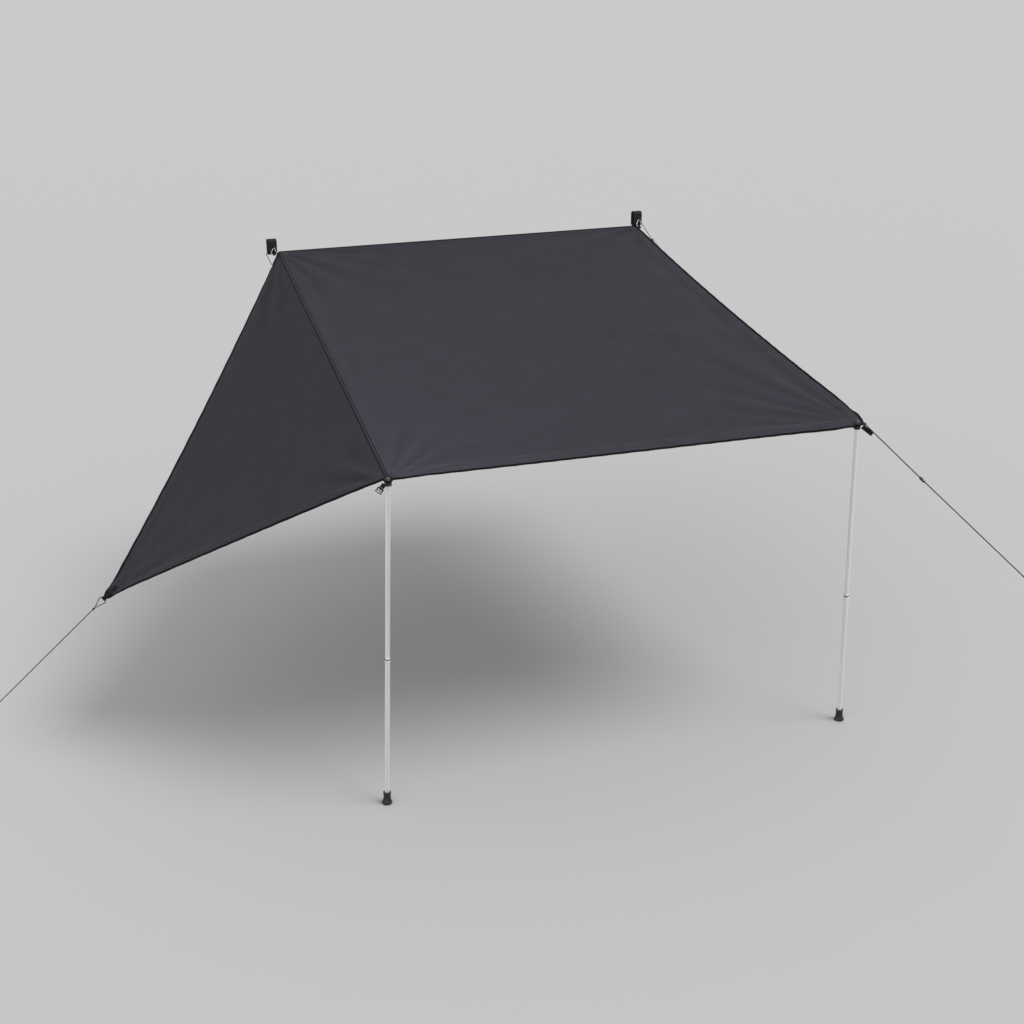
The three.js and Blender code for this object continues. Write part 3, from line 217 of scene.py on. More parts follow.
class Tree:
    """The node tree of a material or of the world, built from expressions."""

    def __init__(self, owner: bpy.types.Material | bpy.types.World, shader: str = "Principled BSDF") -> None:
        """Starts a tree with its plain shader.

        Args:
            owner: The material or world that it belongs to.
            shader: The name of the shader that is fed.
        """
        owner.use_nodes = True
        self.owner = owner
        self.nodes = owner.node_tree.nodes
        self.links = owner.node_tree.links
        self.surface = self.nodes[shader]

    def node(
        self, kind: str, settings: dict | None = None, values: dict | None = None, output: int | str = 0,
    ) -> Socket:
        """Adds one node.

        Args:
            kind: The node's type.
            settings: Its own settings, set before its sockets.
            values: Numbers, vectors or sockets for its inputs, by name or place.
            output: Which output is returned.

        Returns:
            The chosen output.
        """
        made = self.nodes.new(kind)
        for name, value in (settings or {}).items():
            setattr(made, name, value)
        for place, value in (values or {}).items():
            if isinstance(value, Socket):
                self.links.new(value.link, made.inputs[place])
            else:
                made.inputs[place].default_value = value
        return Socket(self, made.outputs[output])

    def maths(self, operation: str, *values: Socket | float) -> Socket:
        """Adds a Math node on sockets and numbers."""
        return self.node("ShaderNodeMath", {"operation": operation}, dict(enumerate(values)))

    def place(self) -> Socket:
        """Returns the place on the part, in metres."""
        return self.node("ShaderNodeTexCoord", output="Object")

    def cloth_place(self) -> tuple[Socket, Socket]:
        """Returns the lengths along and across the cloth, in metres."""
        uv = self.node("ShaderNodeUVMap", {"uv_map": CLOTH_UV})
        return tuple(self.node("ShaderNodeSeparateXYZ", None, {0: uv}, output) for output in (0, 1))

    def mark(self, name: str) -> Socket:
        """Returns a number that the mesh carries at its points."""
        return self.node("ShaderNodeAttribute", {"attribute_name": name}, output="Fac")

    def noise(
        self, scale: float, detail: float = 3.0, place: Socket | None = None, rough: float = 0.5,
    ) -> Socket:
        """Returns noise between 0 and 1.

        Args:
            scale: Its lumps in a metre.
            detail: How many finer layers it has.
            place: Where it is read, the place on the part unless given.
            rough: How strong the finer layers are.

        Returns:
            The noise.
        """
        return self.node(
            "ShaderNodeTexNoise", None,
            {"Vector": place or self.place(), "Scale": scale, "Detail": detail, "Roughness": rough},
        )

    def stretched(self, x: float, y: float, z: float) -> Socket:
        """Returns the place on the part with each axis stretched."""
        return self.node("ShaderNodeMapping", None, {"Vector": self.place(), "Scale": (x, y, z)})

    def shade(self, colour: Sequence[float], factor: Socket) -> Socket:
        """Returns a colour made lighter or darker by a factor."""
        return self.node("ShaderNodeVectorMath", {"operation": "SCALE"}, {0: tuple(colour), "Scale": factor})

    def mix(
        self, factor: Socket, first: Socket | Sequence[float], second: Socket | Sequence[float],
    ) -> Socket:
        """Returns a mix of two colours."""
        one, two = (value if isinstance(value, Socket) else (*value, 1.0) for value in (first, second))
        return self.node("ShaderNodeMix", {"data_type": "RGBA"}, {0: factor, 6: one, 7: two}, output=2)

    def level(self, factor: Socket, first: Socket | float, second: Socket | float) -> Socket:
        """Returns a mix of two numbers."""
        return self.node("ShaderNodeMix", None, {0: factor, 2: first, 3: second})

    def ray(self, kind: str) -> Socket:
        """Returns 1 for rays of a kind, such as Camera or Glossy."""
        return self.node("ShaderNodeLightPath", output=f"Is {kind} Ray")

    def feed(self, name: str, value: Socket | float | Sequence[float]) -> None:
        """Sets an input of the surface shader.

        Args:
            name: The input's name.
            value: A number, colour or socket.
        """
        if isinstance(value, Socket):
            self.links.new(value.link, self.surface.inputs[name])
        else:
            self.surface.inputs[name].default_value = value

    def bump(self, height: Socket, depth: float, strength: float = 1.0) -> None:
        """Raises the surface by a height.

        Args:
            height: The height, about 0 to 1.
            depth: What a height of 1 is, in metres.
            strength: How much of it shows.
        """
        self.feed(
            "Normal",
            self.node("ShaderNodeBump", None, {"Height": height, "Distance": depth, "Strength": strength}),
        )


# ---------------------------------------------------------------- finishes


class Slot(Enum):
    """The material slots of the record."""

    ROOF_CLOTH = "roof_cloth"
    WING_CLOTH = "wing_cloth"
    WEBBING = "webbing"
    CORD = "cord"
    BRIGHT_STEEL = "bright_steel"
    DARK_WIRE = "dark_wire"
    ALUMINIUM = "aluminium"
    BLACK_PLASTIC = "black_plastic"
    RUBBER = "rubber"


@dataclass(frozen=True)
class Finish:
    """What every finish has: its name, its slot in the record and its colour."""

    name: str
    slot: Slot
    colour: Three

    def start(self) -> Tree:
        """Returns the tree of a new material with the finish's name."""
        return Tree(bpy.data.materials.new(self.name))

    def material(self) -> bpy.types.Material:
        """Builds the material."""
        raise NotImplementedError


@dataclass(frozen=True)
class ClothFinish(Finish):
    """Coated plain-weave polyester with soft mottling, pressed creases and sewn edges, with painted fold
    light and shade, a painted light gradient and a painted hem highlight and shade.
    """

    thread: float = 0.0016
    mottle: float = 0.16
    # How strongly the painted fold light and shade and the painted light gradient lighten or darken the
    # cloth.
    fold_wear_and_painted_light: float = 0.16
    sewn: bool = False

    def material(self) -> bpy.types.Material:
        """Builds the material.

        Returns:
            The material.
        """
        tree = self.start()
        along, across = tree.cloth_place()
        turn = TURN / self.thread
        warp, weft = (along * turn).sine(), (across * turn).sine()
        weave = 0.5 + 0.5 * warp * weft
        clouds = tree.noise(3.4, 3)
        patches = tree.noise(8.0, 6, rough=0.66)
        grain = tree.noise(150.0, 2)
        slubs = tree.noise(1.0, 2, tree.stretched(260.0, 14.0, 14.0))
        crumple = tree.noise(46.0, 5, rough=0.62)
        # Partly real crease wear, partly painted fold light and shade: fold crests are lighter and hollows
        # darker, plus the painted light gradient over the cloth.
        lift = tree.mark("fold_wear_and_painted_light")
        level = (
            1.0 + (clouds - 0.5) * (0.8 * self.mottle) + (patches - 0.5) * (3.4 * self.mottle)
            + (grain - 0.5) * 0.4 + (slubs - 0.5) * 0.08 + lift * self.fold_wear_and_painted_light + (weave - 0.5) * 0.05
        )
        height = weave * 0.35 + crumple * 1.1
        if self.sewn:
            rim = tree.mark("rim")
            sewing = rim.bell(0.0042, 0.0022)
            # Painted highlight: a light band along the hem 19 mm in from its outer edge. Painted shade: a
            # darker line at the hem's inner edge.
            rolled = tree.mark("edge").bell(0.019, 0.005)
            level = level + sewing * 0.2 + rolled * 0.22 - rim.bell(0.0, 0.003) * 0.3
            height = height - sewing * 1.6
        tree.feed("Base Color", tree.shade(self.colour, level))
        tree.feed("Roughness", 0.8 + (patches - 0.5) * 0.14)
        tree.feed("Sheen Weight", 0.02)
        tree.feed("Sheen Roughness", 0.5)
        tree.feed("Specular IOR Level", 0.12)
        tree.bump(height, 0.0005, 0.55)
        return tree.owner


@dataclass(frozen=True)
class PipedFinish(Finish):
    """A cloth strip that is coloured darker along each margin."""

    line: Three

    def material(self) -> bpy.types.Material:
        """Builds the material.

        Returns:
            The material.
        """
        tree = self.start()
        along, _ = tree.cloth_place()
        ribs = 0.5 + 0.5 * (along * (TURN / 0.0021)).sine()
        mottle = tree.noise(14.0, 4)
        dark = 1.0 - tree.mark("rim").step(0.0048, 0.006)
        cloth = tree.shade(self.colour, 0.8 + mottle * 0.4)
        tree.feed("Base Color", tree.mix(dark, cloth, tree.shade(self.line, 0.8 + ribs * 0.4)))
        tree.feed("Roughness", 0.8 + mottle * 0.1)
        tree.feed("Specular IOR Level", 0.1)
        tree.bump(ribs * 0.5 - dark * 0.8 + mottle * 0.5, 0.0005, 0.7)
        return tree.owner


@dataclass(frozen=True)
class WebbingFinish(Finish):
    """Woven strap with cross ribs, a herringbone face and sewn margins."""

    rib: float = 0.0021
    gloss: float = 0.2
    sewn: bool = True

    def material(self) -> bpy.types.Material:
        """Builds the material.

        Returns:
            The material.
        """
        tree = self.start()
        along, across = tree.cloth_place()
        zigzag = (across * (TURN / 0.0065)).sine() * 0.0011
        ribs = 0.5 + 0.5 * ((along + zigzag) * (TURN / self.rib)).sine()
        yarns = 0.5 + 0.5 * (across * (TURN / 0.0012)).sine()
        fuzz = tree.noise(420.0, 3)
        wear = tree.noise(24.0, 4)
        level = 0.82 + ribs * 0.3 + (fuzz - 0.5) * 0.3 + (wear - 0.5) * 0.5
        height = ribs * 0.9 + yarns * 0.3 + fuzz * 0.4
        if self.sewn:
            sewing = tree.mark("rim").bell(0.0032, 0.0012)
            level = level + sewing * 0.35
            height = height - sewing * 0.8
        tree.feed("Base Color", tree.shade(self.colour, level))
        tree.feed("Roughness", 0.62 + wear * 0.2)
        tree.feed("Sheen Weight", self.gloss * 0.1)
        tree.feed("Sheen Roughness", 0.4)
        tree.feed("Specular IOR Level", self.gloss)
        tree.bump(height, 0.00035, 0.8)
        return tree.owner


@dataclass(frozen=True)
class CordFinish(Finish):
    """Braided cord: two sets of strands that cross round the cord."""

    pitch: float = 0.011
    strands: int = 4

    def material(self) -> bpy.types.Material:
        """Builds the material.

        Returns:
            The material.
        """
        tree = self.start()
        round_share, along = tree.cloth_place()
        strands = self.strands * TURN
        first = (round_share * strands + along * (strands / self.pitch)).sine()
        second = (round_share * strands - along * (strands / self.pitch)).sine()
        braid = 0.5 + 0.25 * (first + second)
        fuzz = tree.noise(600.0, 2)
        tree.feed("Base Color", tree.shade(self.colour, 0.6 + braid * 0.7 + (fuzz - 0.5) * 0.3))
        tree.feed("Roughness", 0.78 - braid * 0.12)
        tree.feed("Sheen Weight", 0.25)
        tree.bump(braid + fuzz * 0.2, 0.0004, 0.9)
        return tree.owner


class Brushing(Enum):
    """How a metal surface was worked."""

    DRAWN = (900.0, 900.0, 5.0)
    POLISHED = (70.0, 70.0, 70.0)


@dataclass(frozen=True)
class MetalFinish(Finish):
    """Bare or coated metal with fine working marks, handling marks and dull spots."""

    roughness: float
    brushing: Brushing
    metallic: float = 1.0
    marks: float = 0.1

    def material(self) -> bpy.types.Material:
        """Builds the material.

        Returns:
            The material.
        """
        tree = self.start()
        lines = tree.noise(1.0, 3, tree.stretched(*self.brushing.value), rough=0.6)
        smears = tree.noise(18.0, 4)
        spots = tree.noise(160.0, 2).step(0.66, 0.78)
        level = 1.0 + (lines - 0.5) * self.marks + (smears - 0.5) * self.marks - spots * 0.1
        tree.feed("Base Color", tree.shade(self.colour, level))
        tree.feed("Roughness", self.roughness + (lines - 0.5) * 0.12 + smears * 0.06 + spots * 0.12)
        tree.feed("Metallic", self.metallic)
        tree.bump(lines, 0.00002, 0.6)
        return tree.owner


@dataclass(frozen=True)
class MouldedFinish(Finish):
    """Moulded plastic or rubber: fine grain, flow marks and dust in patches."""

    roughness: float
    grain: float
    dust: float = 0.1

    def material(self) -> bpy.types.Material:
        """Builds the material.

        Returns:
            The material.
        """
        tree = self.start()
        grain = tree.noise(self.grain, 2)
        flow = tree.noise(30.0, 4)
        dusty = tree.noise(55.0, 4).step(0.5, 0.8) * self.dust
        body = tree.shade(self.colour, 0.85 + flow * 0.3)
        tree.feed("Base Color", tree.mix(dusty, body, (0.22, 0.21, 0.2)))
        tree.feed("Roughness", self.roughness + (flow - 0.5) * 0.14 + dusty * 0.3)
        tree.bump(grain + flow * 0.4, 0.00012, 0.7)
        return tree.owner


@dataclass(frozen=True)
class ThreadFinish(Finish):
    """Sewing thread, slightly lighter than the cloth."""

    def material(self) -> bpy.types.Material:
        """Builds the material.

        Returns:
            The material.
        """
        tree = self.start()
        twist = tree.noise(900.0, 2)
        tree.feed("Base Color", tree.shade(self.colour, 0.8 + twist * 0.4))
        tree.feed("Roughness", 0.55 + twist * 0.1)
        tree.feed("Sheen Weight", 0.3)
        tree.bump(twist, 0.0001, 0.6)
        return tree.owner


ROOF_CLOTH = ClothFinish("roof_cloth_finish", Slot.ROOF_CLOTH, (0.0375, 0.038, 0.0488))
ROOF_HEM = ClothFinish("roof_hem_finish", Slot.ROOF_CLOTH, (0.0405, 0.041, 0.0525), sewn=True)
# Painted darker than the other hems: painted shade toward the rear of the roof.
REAR_HEM = ClothFinish("rear_hem_finish", Slot.ROOF_CLOTH, (0.0345, 0.035, 0.045), sewn=True)
# The wing's cloth and hem are the roof's colours painted darker: painted shade for the wing's steeper, less
# lit face.
WING_CLOTH = ClothFinish("wing_cloth_finish", Slot.WING_CLOTH, (0.0322, 0.0322, 0.0408))
WING_HEM = ClothFinish("wing_hem_finish", Slot.WING_CLOTH, (0.0335, 0.0335, 0.042), sewn=True)
CREASE_CLOTH = PipedFinish("crease_finish", Slot.ROOF_CLOTH, (0.034, 0.0345, 0.043), (0.013, 0.013, 0.0155))
BINDING = WebbingFinish(
    "binding_finish", Slot.WEBBING, (0.0035, 0.0035, 0.004), rib=0.0016, gloss=0.08, sewn=False,
)
STRAP = WebbingFinish("strap_finish", Slot.WEBBING, (0.019, 0.019, 0.02))
TAIL_STRAP = WebbingFinish("tail_strap_finish", Slot.WEBBING, (0.0085, 0.0085, 0.009), gloss=0.12)
CORD_BLACK = CordFinish("cord_finish", Slot.CORD, (0.016, 0.016, 0.017))
BRIGHT_STEEL = MetalFinish(
    "bright_steel_finish", Slot.BRIGHT_STEEL, (0.78, 0.78, 0.79), 0.16, Brushing.POLISHED,
)
# Painted reflection: the domes' bright steel is coloured dark, standing in for dark surroundings seen in it,
# so only the lamp's highlight shows bright.
DOME_STEEL = MetalFinish(
    "dome_steel_finish", Slot.BRIGHT_STEEL, (0.085, 0.085, 0.088), 0.3, Brushing.POLISHED,
)
DARK_WIRE = MetalFinish(
    "dark_wire_finish", Slot.DARK_WIRE, (0.035, 0.035, 0.037), 0.34, Brushing.POLISHED, metallic=0.4,
)
ALUMINIUM = MetalFinish(
    "aluminium_finish", Slot.ALUMINIUM, (0.93, 0.93, 0.94), 0.33, Brushing.DRAWN, metallic=0.8, marks=0.08,
)
BLACK_PLASTIC = MouldedFinish("black_plastic_finish", Slot.BLACK_PLASTIC, (0.017, 0.017, 0.018), 0.42, 900.0)
RUBBER = MouldedFinish("rubber_finish", Slot.RUBBER, (0.014, 0.014, 0.014), 0.72, 500.0, dust=0.22)
ROOF_THREAD = ThreadFinish("roof_thread_finish", Slot.ROOF_CLOTH, (0.13, 0.13, 0.155))
# Painted darker than the roof's thread, as painted shade on the wing.
WING_THREAD = ThreadFinish("wing_thread_finish", Slot.WING_CLOTH, (0.11, 0.11, 0.13))
STRAP_THREAD = ThreadFinish("strap_thread_finish", Slot.WEBBING, (0.045, 0.045, 0.048))


class Wardrobe:
    """Hands out each finish's material, made once, and dresses pieces with it."""

    def __init__(self) -> None:
        """Starts with no material made."""
        self.made: dict[str, bpy.types.Material] = {}

    def material(self, finish: Finish) -> bpy.types.Material:
        """Returns the material of a finish.

        Args:
            finish: The finish.

        Returns:
            Its material, made at the first call.
        """
        if finish.name not in self.made:
            self.made[finish.name] = finish.material()
        return self.made[finish.name]

    def dress(self, piece: Piece, finish: Finish, body: str, *nodes: str, bends: bool = False) -> Piece:
        """Gives a piece its finish, its body and the nodes that it stands for.

        Args:
            piece: The new piece.
            finish: Its finish.
            body: The body that it rides on.
            nodes: The nodes that it replaces.
            bends: Whether it is left free of its body.

        Returns:
            The piece.
        """
        piece.data.materials.clear()
        piece.data.materials.append(self.material(finish))
        if not bends:
            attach(piece, body)
        if nodes:
            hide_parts(*nodes)
        log.info("%s: %d faces on %s", piece.name, len(piece.data.polygons), body)
        return piece

    def keep(self, node: str, finish: Finish) -> None:
        """Gives a node of the frame that stays a better material.

        Args:
            node: The node's name.
            finish: Its new finish.
        """
        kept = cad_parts[node]
        for place in kept.material_slots:
            place.link = "OBJECT"
            place.material = self.material(finish)
        log.info("%s stays, as %s", node, finish.name)


wardrobe = Wardrobe()


# ---------------------------------------------------------------- making pieces


@dataclass
class Laid:
    """Where the points of a grid are laid, with cloth lengths and marks at each."""

    points: Many
    cloth: Many
    marks: dict[str, Many] = field(default_factory=dict)


Layer = Callable[[Many, Many], Laid]


def linked(name: str, data: bpy.types.ID) -> Piece:
    """Puts a mesh, curve, camera or lamp in the scene under a name.

    Args:
        name: The name.
        data: What it shows.

    Returns:
        The new piece.
    """
    piece = bpy.data.objects.new(name, data)
    bpy.context.scene.collection.objects.link(piece)
    return piece


def from_bmesh(name: str, made: bmesh.types.BMesh, sharp: float = 38.0) -> Piece:
    """Turns a bmesh into a piece with smooth faces and crisp edges.

    Args:
        name: The piece's name.
        made: The bmesh, which is freed.
        sharp: The angle over which an edge stays crisp, in degrees.

    Returns:
        The piece.
    """
    mesh = bpy.data.meshes.new(name)
    made.to_mesh(mesh)
    made.free()
    mesh.shade_smooth()
    mesh.set_sharp_from_angle(angle=math.radians(sharp))
    return linked(name, mesh)


def settled(piece: Piece, sharp: float = 38.0) -> Piece:
    """Applies a piece's modifiers to its mesh.

    Args:
        piece: The piece.
        sharp: The angle over which an edge stays crisp, in degrees.

    Returns:
        The piece, with no modifier left.
    """
    bpy.context.view_layer.update()
    graph = bpy.context.evaluated_depsgraph_get()
    mesh = bpy.data.meshes.new_from_object(
        piece.evaluated_get(graph), preserve_all_data_layers=True, depsgraph=graph,
    )
    piece.modifiers.clear()
    old = piece.data
    piece.data = mesh
    mesh.shade_smooth()
    mesh.set_sharp_from_angle(angle=math.radians(sharp))
    if isinstance(old, bpy.types.Mesh):
        bpy.data.meshes.remove(old)
    return piece


def laid_grid(name: str, columns: int, rows: int, layer: Layer, closed: bool = False) -> Piece:
    """Makes a sheet from a grid whose points a function lays out.

    Args:
        name: The piece's name.
        columns: Faces along the first share.
        rows: Faces along the second share.
        layer: Gives places, cloth lengths and marks for the two shares.
        closed: Whether the ends of the first share meet.

    Returns:
        The sheet, one face thick.
    """
    made = bmesh.new()
    uv = made.loops.layers.uv.new(CLOTH_UV)
    bmesh.ops.create_grid(made, x_segments=columns, y_segments=rows, size=0.5)
    made.verts.ensure_lookup_table()
    shares = np.array([vert.co[:2] for vert in made.verts]) + 0.5
    laid = layer(shares[:, 0], shares[:, 1])
    layers = {mark: made.verts.layers.float.new(mark) for mark in laid.marks}
    for index, vert in enumerate(made.verts):
        vert.co = laid.points[index]
        for mark, place in layers.items():
            vert[place] = float(laid.marks[mark][index])
    for face in made.faces:
        for loop in face.loops:
            loop[uv].uv = laid.cloth[loop.vert.index]
    if closed:
        bmesh.ops.remove_doubles(made, verts=made.verts[:], dist=MERGE)
    return from_bmesh(name, made, 60.0)


def thickened(piece: Piece, thickness: float, edge: float = 0.0) -> Piece:
    """Gives a sheet a thickness to both sides and, if wanted, rounded edges.

    Args:
        piece: The sheet.
        thickness: Its thickness.
        edge: The width of the rounding of its edges.

    Returns:
        The solid piece.
    """
    wall = piece.modifiers.new("wall", "SOLIDIFY")
    wall.thickness = thickness
    wall.offset = 0.0
    wall.use_even_offset = False
    if edge:
        rounding = piece.modifiers.new("edge", "BEVEL")
        rounding.width = edge
        rounding.segments = 2
        rounding.limit_method = "ANGLE"
        rounding.angle_limit = math.radians(50)
    return settled(piece, 60.0)


def turned(name: str, profile: Sequence[tuple[float, float]], axes: Axes, segments: int = 48) -> Piece:
    """Spins a profile into a round piece.

    Args:
        name: The piece's name.
        profile: Radius and height of each point, closed on itself or on the axis.
        axes: The axes whose z is the axis of the spin.
        segments: How many steps it takes round.

    Returns:
        The round piece.
    """
    made = bmesh.new()
    verts = [made.verts.new((radius, 0.0, height)) for radius, height in profile]
    for first, second in zip(verts, verts[1:]):
        made.edges.new((first, second))
    if profile[0][0] > 0 or profile[-1][0] > 0:
        made.edges.new((verts[-1], verts[0]))
    bmesh.ops.spin(
        made, geom=made.verts[:] + made.edges[:], angle=TURN, steps=segments,
        axis=(0, 0, 1), cent=(0, 0, 0), use_merge=True,
    )
    bmesh.ops.remove_doubles(made, verts=made.verts[:], dist=MERGE)
    bmesh.ops.recalc_face_normals(made, faces=made.faces[:])
    bmesh.ops.transform(made, matrix=axes.matrix(), verts=made.verts[:])
    return from_bmesh(name, made, 32.0)


def grooves(outer: float, depth: float, low: float, pitch: float, ramp: float) -> list[tuple[float, float]]:
    """Returns the profile of two grooves round a turned piece.

    Args:
        outer: The radius beside the grooves.
        depth: How deep they are.
        low: The height one pitch under the first.
        pitch: The height of a groove and of the land between them.
        ramp: The share of a groove that each of its sides takes.

    Returns:
        Radius and height of each point, upwards.
    """
    shares = ((0, 0), (ramp, depth), (1 - ramp, depth), (1, 0))
    return [(outer - deep, low + pitch * (step + share)) for step in (1, 3) for share, deep in shares]


def rounded_loop(corners: Sequence[Vector], bends: Sequence[float], steps: int = 8) -> list[Vector]:
    """Rounds each corner of a flat polygon.

    Args:
        corners: The polygon's corners.
        bends: The bend radius at each corner.
        steps: Steps round each bend.

    Returns:
        The points of the rounded loop.
    """
    points = []
    count = len(corners)
    for index, corner in enumerate(corners):
        back = (corners[index - 1] - corner).normalized()
        ahead = (corners[(index + 1) % count] - corner).normalized()
        opening = back.angle(ahead)
        reach = bends[index] / math.tan(opening / 2)
        start, end = corner + back * reach, corner + ahead * reach
        centre = corner + (back + ahead).normalized() * (bends[index] / math.sin(opening / 2))
        for step in range(steps + 1):
            points.append(centre + (start.lerp(end, step / steps) - centre).normalized() * bends[index])
    return points


def wire(name: str, points: Sequence[Vector], diameter: float, closed: bool = True) -> Piece:
    """Makes a round wire along points, as a mesh.

    Args:
        name: The piece's name.
        points: The line that it follows.
        diameter: Its diameter.
        closed: Whether its ends meet.

    Returns:
        The wire.
    """
    curve = bpy.data.curves.new(name + "_line", "CURVE")
    curve.dimensions = "3D"
    curve.bevel_depth = diameter / 2
    curve.bevel_resolution = 5
    curve.use_fill_caps = not closed
    line = curve.splines.new("POLY")
    line.points.add(len(points) - 1)
    for place, point in zip(line.points, points):
        place.co = (*point, 1.0)
    line.use_cyclic_u = closed
    holder = linked(name + "_line", curve)
    bpy.context.view_layer.update()
    graph = bpy.context.evaluated_depsgraph_get()
    mesh = bpy.data.meshes.new_from_object(holder.evaluated_get(graph), depsgraph=graph)
    bpy.data.objects.remove(holder)
    bpy.data.curves.remove(curve)
    mesh.shade_smooth()
    mesh.set_sharp_from_angle(angle=math.radians(50))
    return linked(name, mesh)


@dataclass
class Band:
    """A flat woven band along a line, with its sewn margins marked."""

    name: str
    path: list[Vector]
    across: list[Vector]
    width: float
    thickness: float
    closed: bool = False
    rows: int = 6

    def build(self) -> Piece:
        """Builds the band as a closed solid.

        Returns:
            The band.
        """
        count = len(self.path)
        steps = count if self.closed else count - 1
        centres = np.array([point[:] for point in self.path])
        sides = np.array([way.normalized()[:] for way in self.across])
        jumps = np.linalg.norm(np.diff(np.vstack([centres, centres[:1]]), axis=0), axis=1)
        lengths = np.concatenate([[0.0], np.cumsum(jumps)])

        def layer(s: Many, t: Many) -> Laid:
            """Lays the grid along the path.

            Args:
                s: Shares along the path.
                t: Shares across the band.

            Returns:
                The points that the grid gets.
            """
            index = np.rint(s * steps).astype(int)
            off = (t - 0.5) * self.width
            points = centres[index % count] + sides[index % count] * off[:, None]
            marks = {"rim": self.width / 2 - np.abs(off), "fold_wear_and_painted_light": 0 * off}
            return Laid(points, np.stack([lengths[index], off], axis=1), marks)

        sheet = laid_grid(self.name, steps, self.rows, layer, self.closed)
        return thickened(sheet, self.thickness, min(0.0005, self.thickness * 0.3))


def spaced(points: Sequence[Vector], pitch: float) -> list[Vector]:
    """Returns points at an even pitch along a line of points.

    Args:
        points: The line.
        pitch: The length from one point to the next.

    Returns:
        The points, from the line's start.
    """
    kept, left = [points[0].copy()], pitch
    for first, second in zip(points, points[1:]):
        length, done = (second - first).length, 0.0
        while length - done >= left:
            done += left
            kept.append(first.lerp(second, done / length))
            left = pitch
        left -= length - done
    return kept


class Stitch(Enum):
    """The pitch and the thread of a seam."""

    CLOTH = (0.0075, 0.0011)
    STRAP = (0.0042, 0.0009)
    TAIL = (0.0035, 0.0008)


@dataclass
class Sewing:
    """Runs of stitches, gathered into one piece."""

    name: str
    stitch: Stitch
    made: list[bmesh.types.BMesh] = field(default_factory=list)

    def run(self, points: Sequence[Vector], up: Vector) -> None:
        """Sews along a line.

        Args:
            points: The line that is sewn.
            up: The direction away from the cloth.
        """
        pitch, thread = self.stitch.value
        marks = spaced(points, pitch)
        batch = None
        for index, (first, second) in enumerate(zip(marks, marks[1:])):
            if index % 48 == 0:
                batch = bmesh.new()
                self.made.append(batch)
            along = (second - first).normalized()
            side = up.cross(along).normalized()
            lift = along.cross(side)
            middle = first.lerp(second, 0.5)
            sizes = (along * (pitch * 0.39), side * (thread * 0.6), lift * (thread * 0.5))
            place = Matrix.Translation(middle) @ Matrix(sizes).transposed().to_4x4()
            bmesh.ops.create_icosphere(batch, subdivisions=1, radius=1.0, matrix=place)

    def build(self) -> Piece:
        """Joins the stitches into one piece.

        Returns:
            The piece.
        """
        whole = bmesh.new()
        for batch in self.made:
            mesh = bpy.data.meshes.new("stitches")
            batch.to_mesh(mesh)
            batch.free()
            whole.from_mesh(mesh)
            bpy.data.meshes.remove(mesh)
        return from_bmesh(self.name, whole, 180.0)


def crossed_box(sewing: Sewing, face: Axes, half: float, start: float, end: float, height: float) -> None:
    """Sews a box with both diagonals.

    Args:
        sewing: What takes the stitches.
        face: Axes on the strap, z off its face.
        half: Half of the box's width along x.
        start: Where the box starts along y.
        end: Where it ends along y.
        height: How far over the axes it lies.
    """
    near, far, last, first = ((-half, start), (half, start), (half, end), (-half, end))
    for places in ((near, far, last, first, near, last), (first, far)):
        sewing.run([face.at(x, y, height) for x, y in places], face.z)


def rope(name: str, path: Sequence[Vector], diameter: float, step: float = 0.012, around: int = 14) -> Piece:
    """Makes a cord as a closed tube with lengths round and along it.

    Args:
        name: The piece's name.
        path: The line that the cord follows.
        diameter: Its diameter.
        step: The length of a face along it.
        around: The faces round it.

    Returns:
        The cord.
    """
    line = spaced(path, step)
    if (line[-1] - path[-1]).length > step / 4:
        line.append(path[-1].copy())
    else:
        line[-1] = path[-1].copy()
    tangents = [
        (line[min(i + 1, len(line) - 1)] - line[max(i - 1, 0)]).normalized()
        for i in range(len(line))
    ]
    side = tangents[0].orthogonal().normalized()
    sides = []
    for tangent in tangents:
        side = (side - tangent * side.dot(tangent)).normalized()
        sides.append(side.copy())
    others = [tangent.cross(one) for tangent, one in zip(tangents, sides)]
    centres, ones, twos = (np.array([v[:] for v in rows]) for rows in (line, sides, others))
    lengths = np.concatenate([[0.0], np.cumsum(np.linalg.norm(np.diff(centres, axis=0), axis=1))])

    def layer(s: Many, t: Many) -> Laid:
        """Lays the grid round the cord.

        Args:
            s: Shares round the cord.
            t: Shares along it.

        Returns:
            The points that the grid gets.
        """
        index = np.rint(t * (len(line) - 1)).astype(int)
        turn = TURN * s
        cosine, sine = np.cos(turn)[:, None], np.sin(turn)[:, None]
        points = centres[index] + diameter / 2 * (cosine * ones[index] + sine * twos[index])
        return Laid(points, np.stack([s, lengths[index]], axis=1))

    tube = laid_grid(name, around, len(line) - 1, layer, closed=True)
    made = bmesh.new()
    made.from_mesh(tube.data)
    bmesh.ops.holes_fill(made, edges=[edge for edge in made.edges if edge.is_boundary], sides=0)
    bmesh.ops.recalc_face_normals(made, faces=made.faces[:])
    made.to_mesh(tube.data)
    made.free()
    return tube


# ---------------------------------------------------------------- shapes of the cloth


@dataclass(frozen=True)
class Pull:
    """A tension fold that runs out of a corner."""

    turn: float
    height: float
    reach: float
    width: float
    spread: float = 0.045
    start: float = 0.07


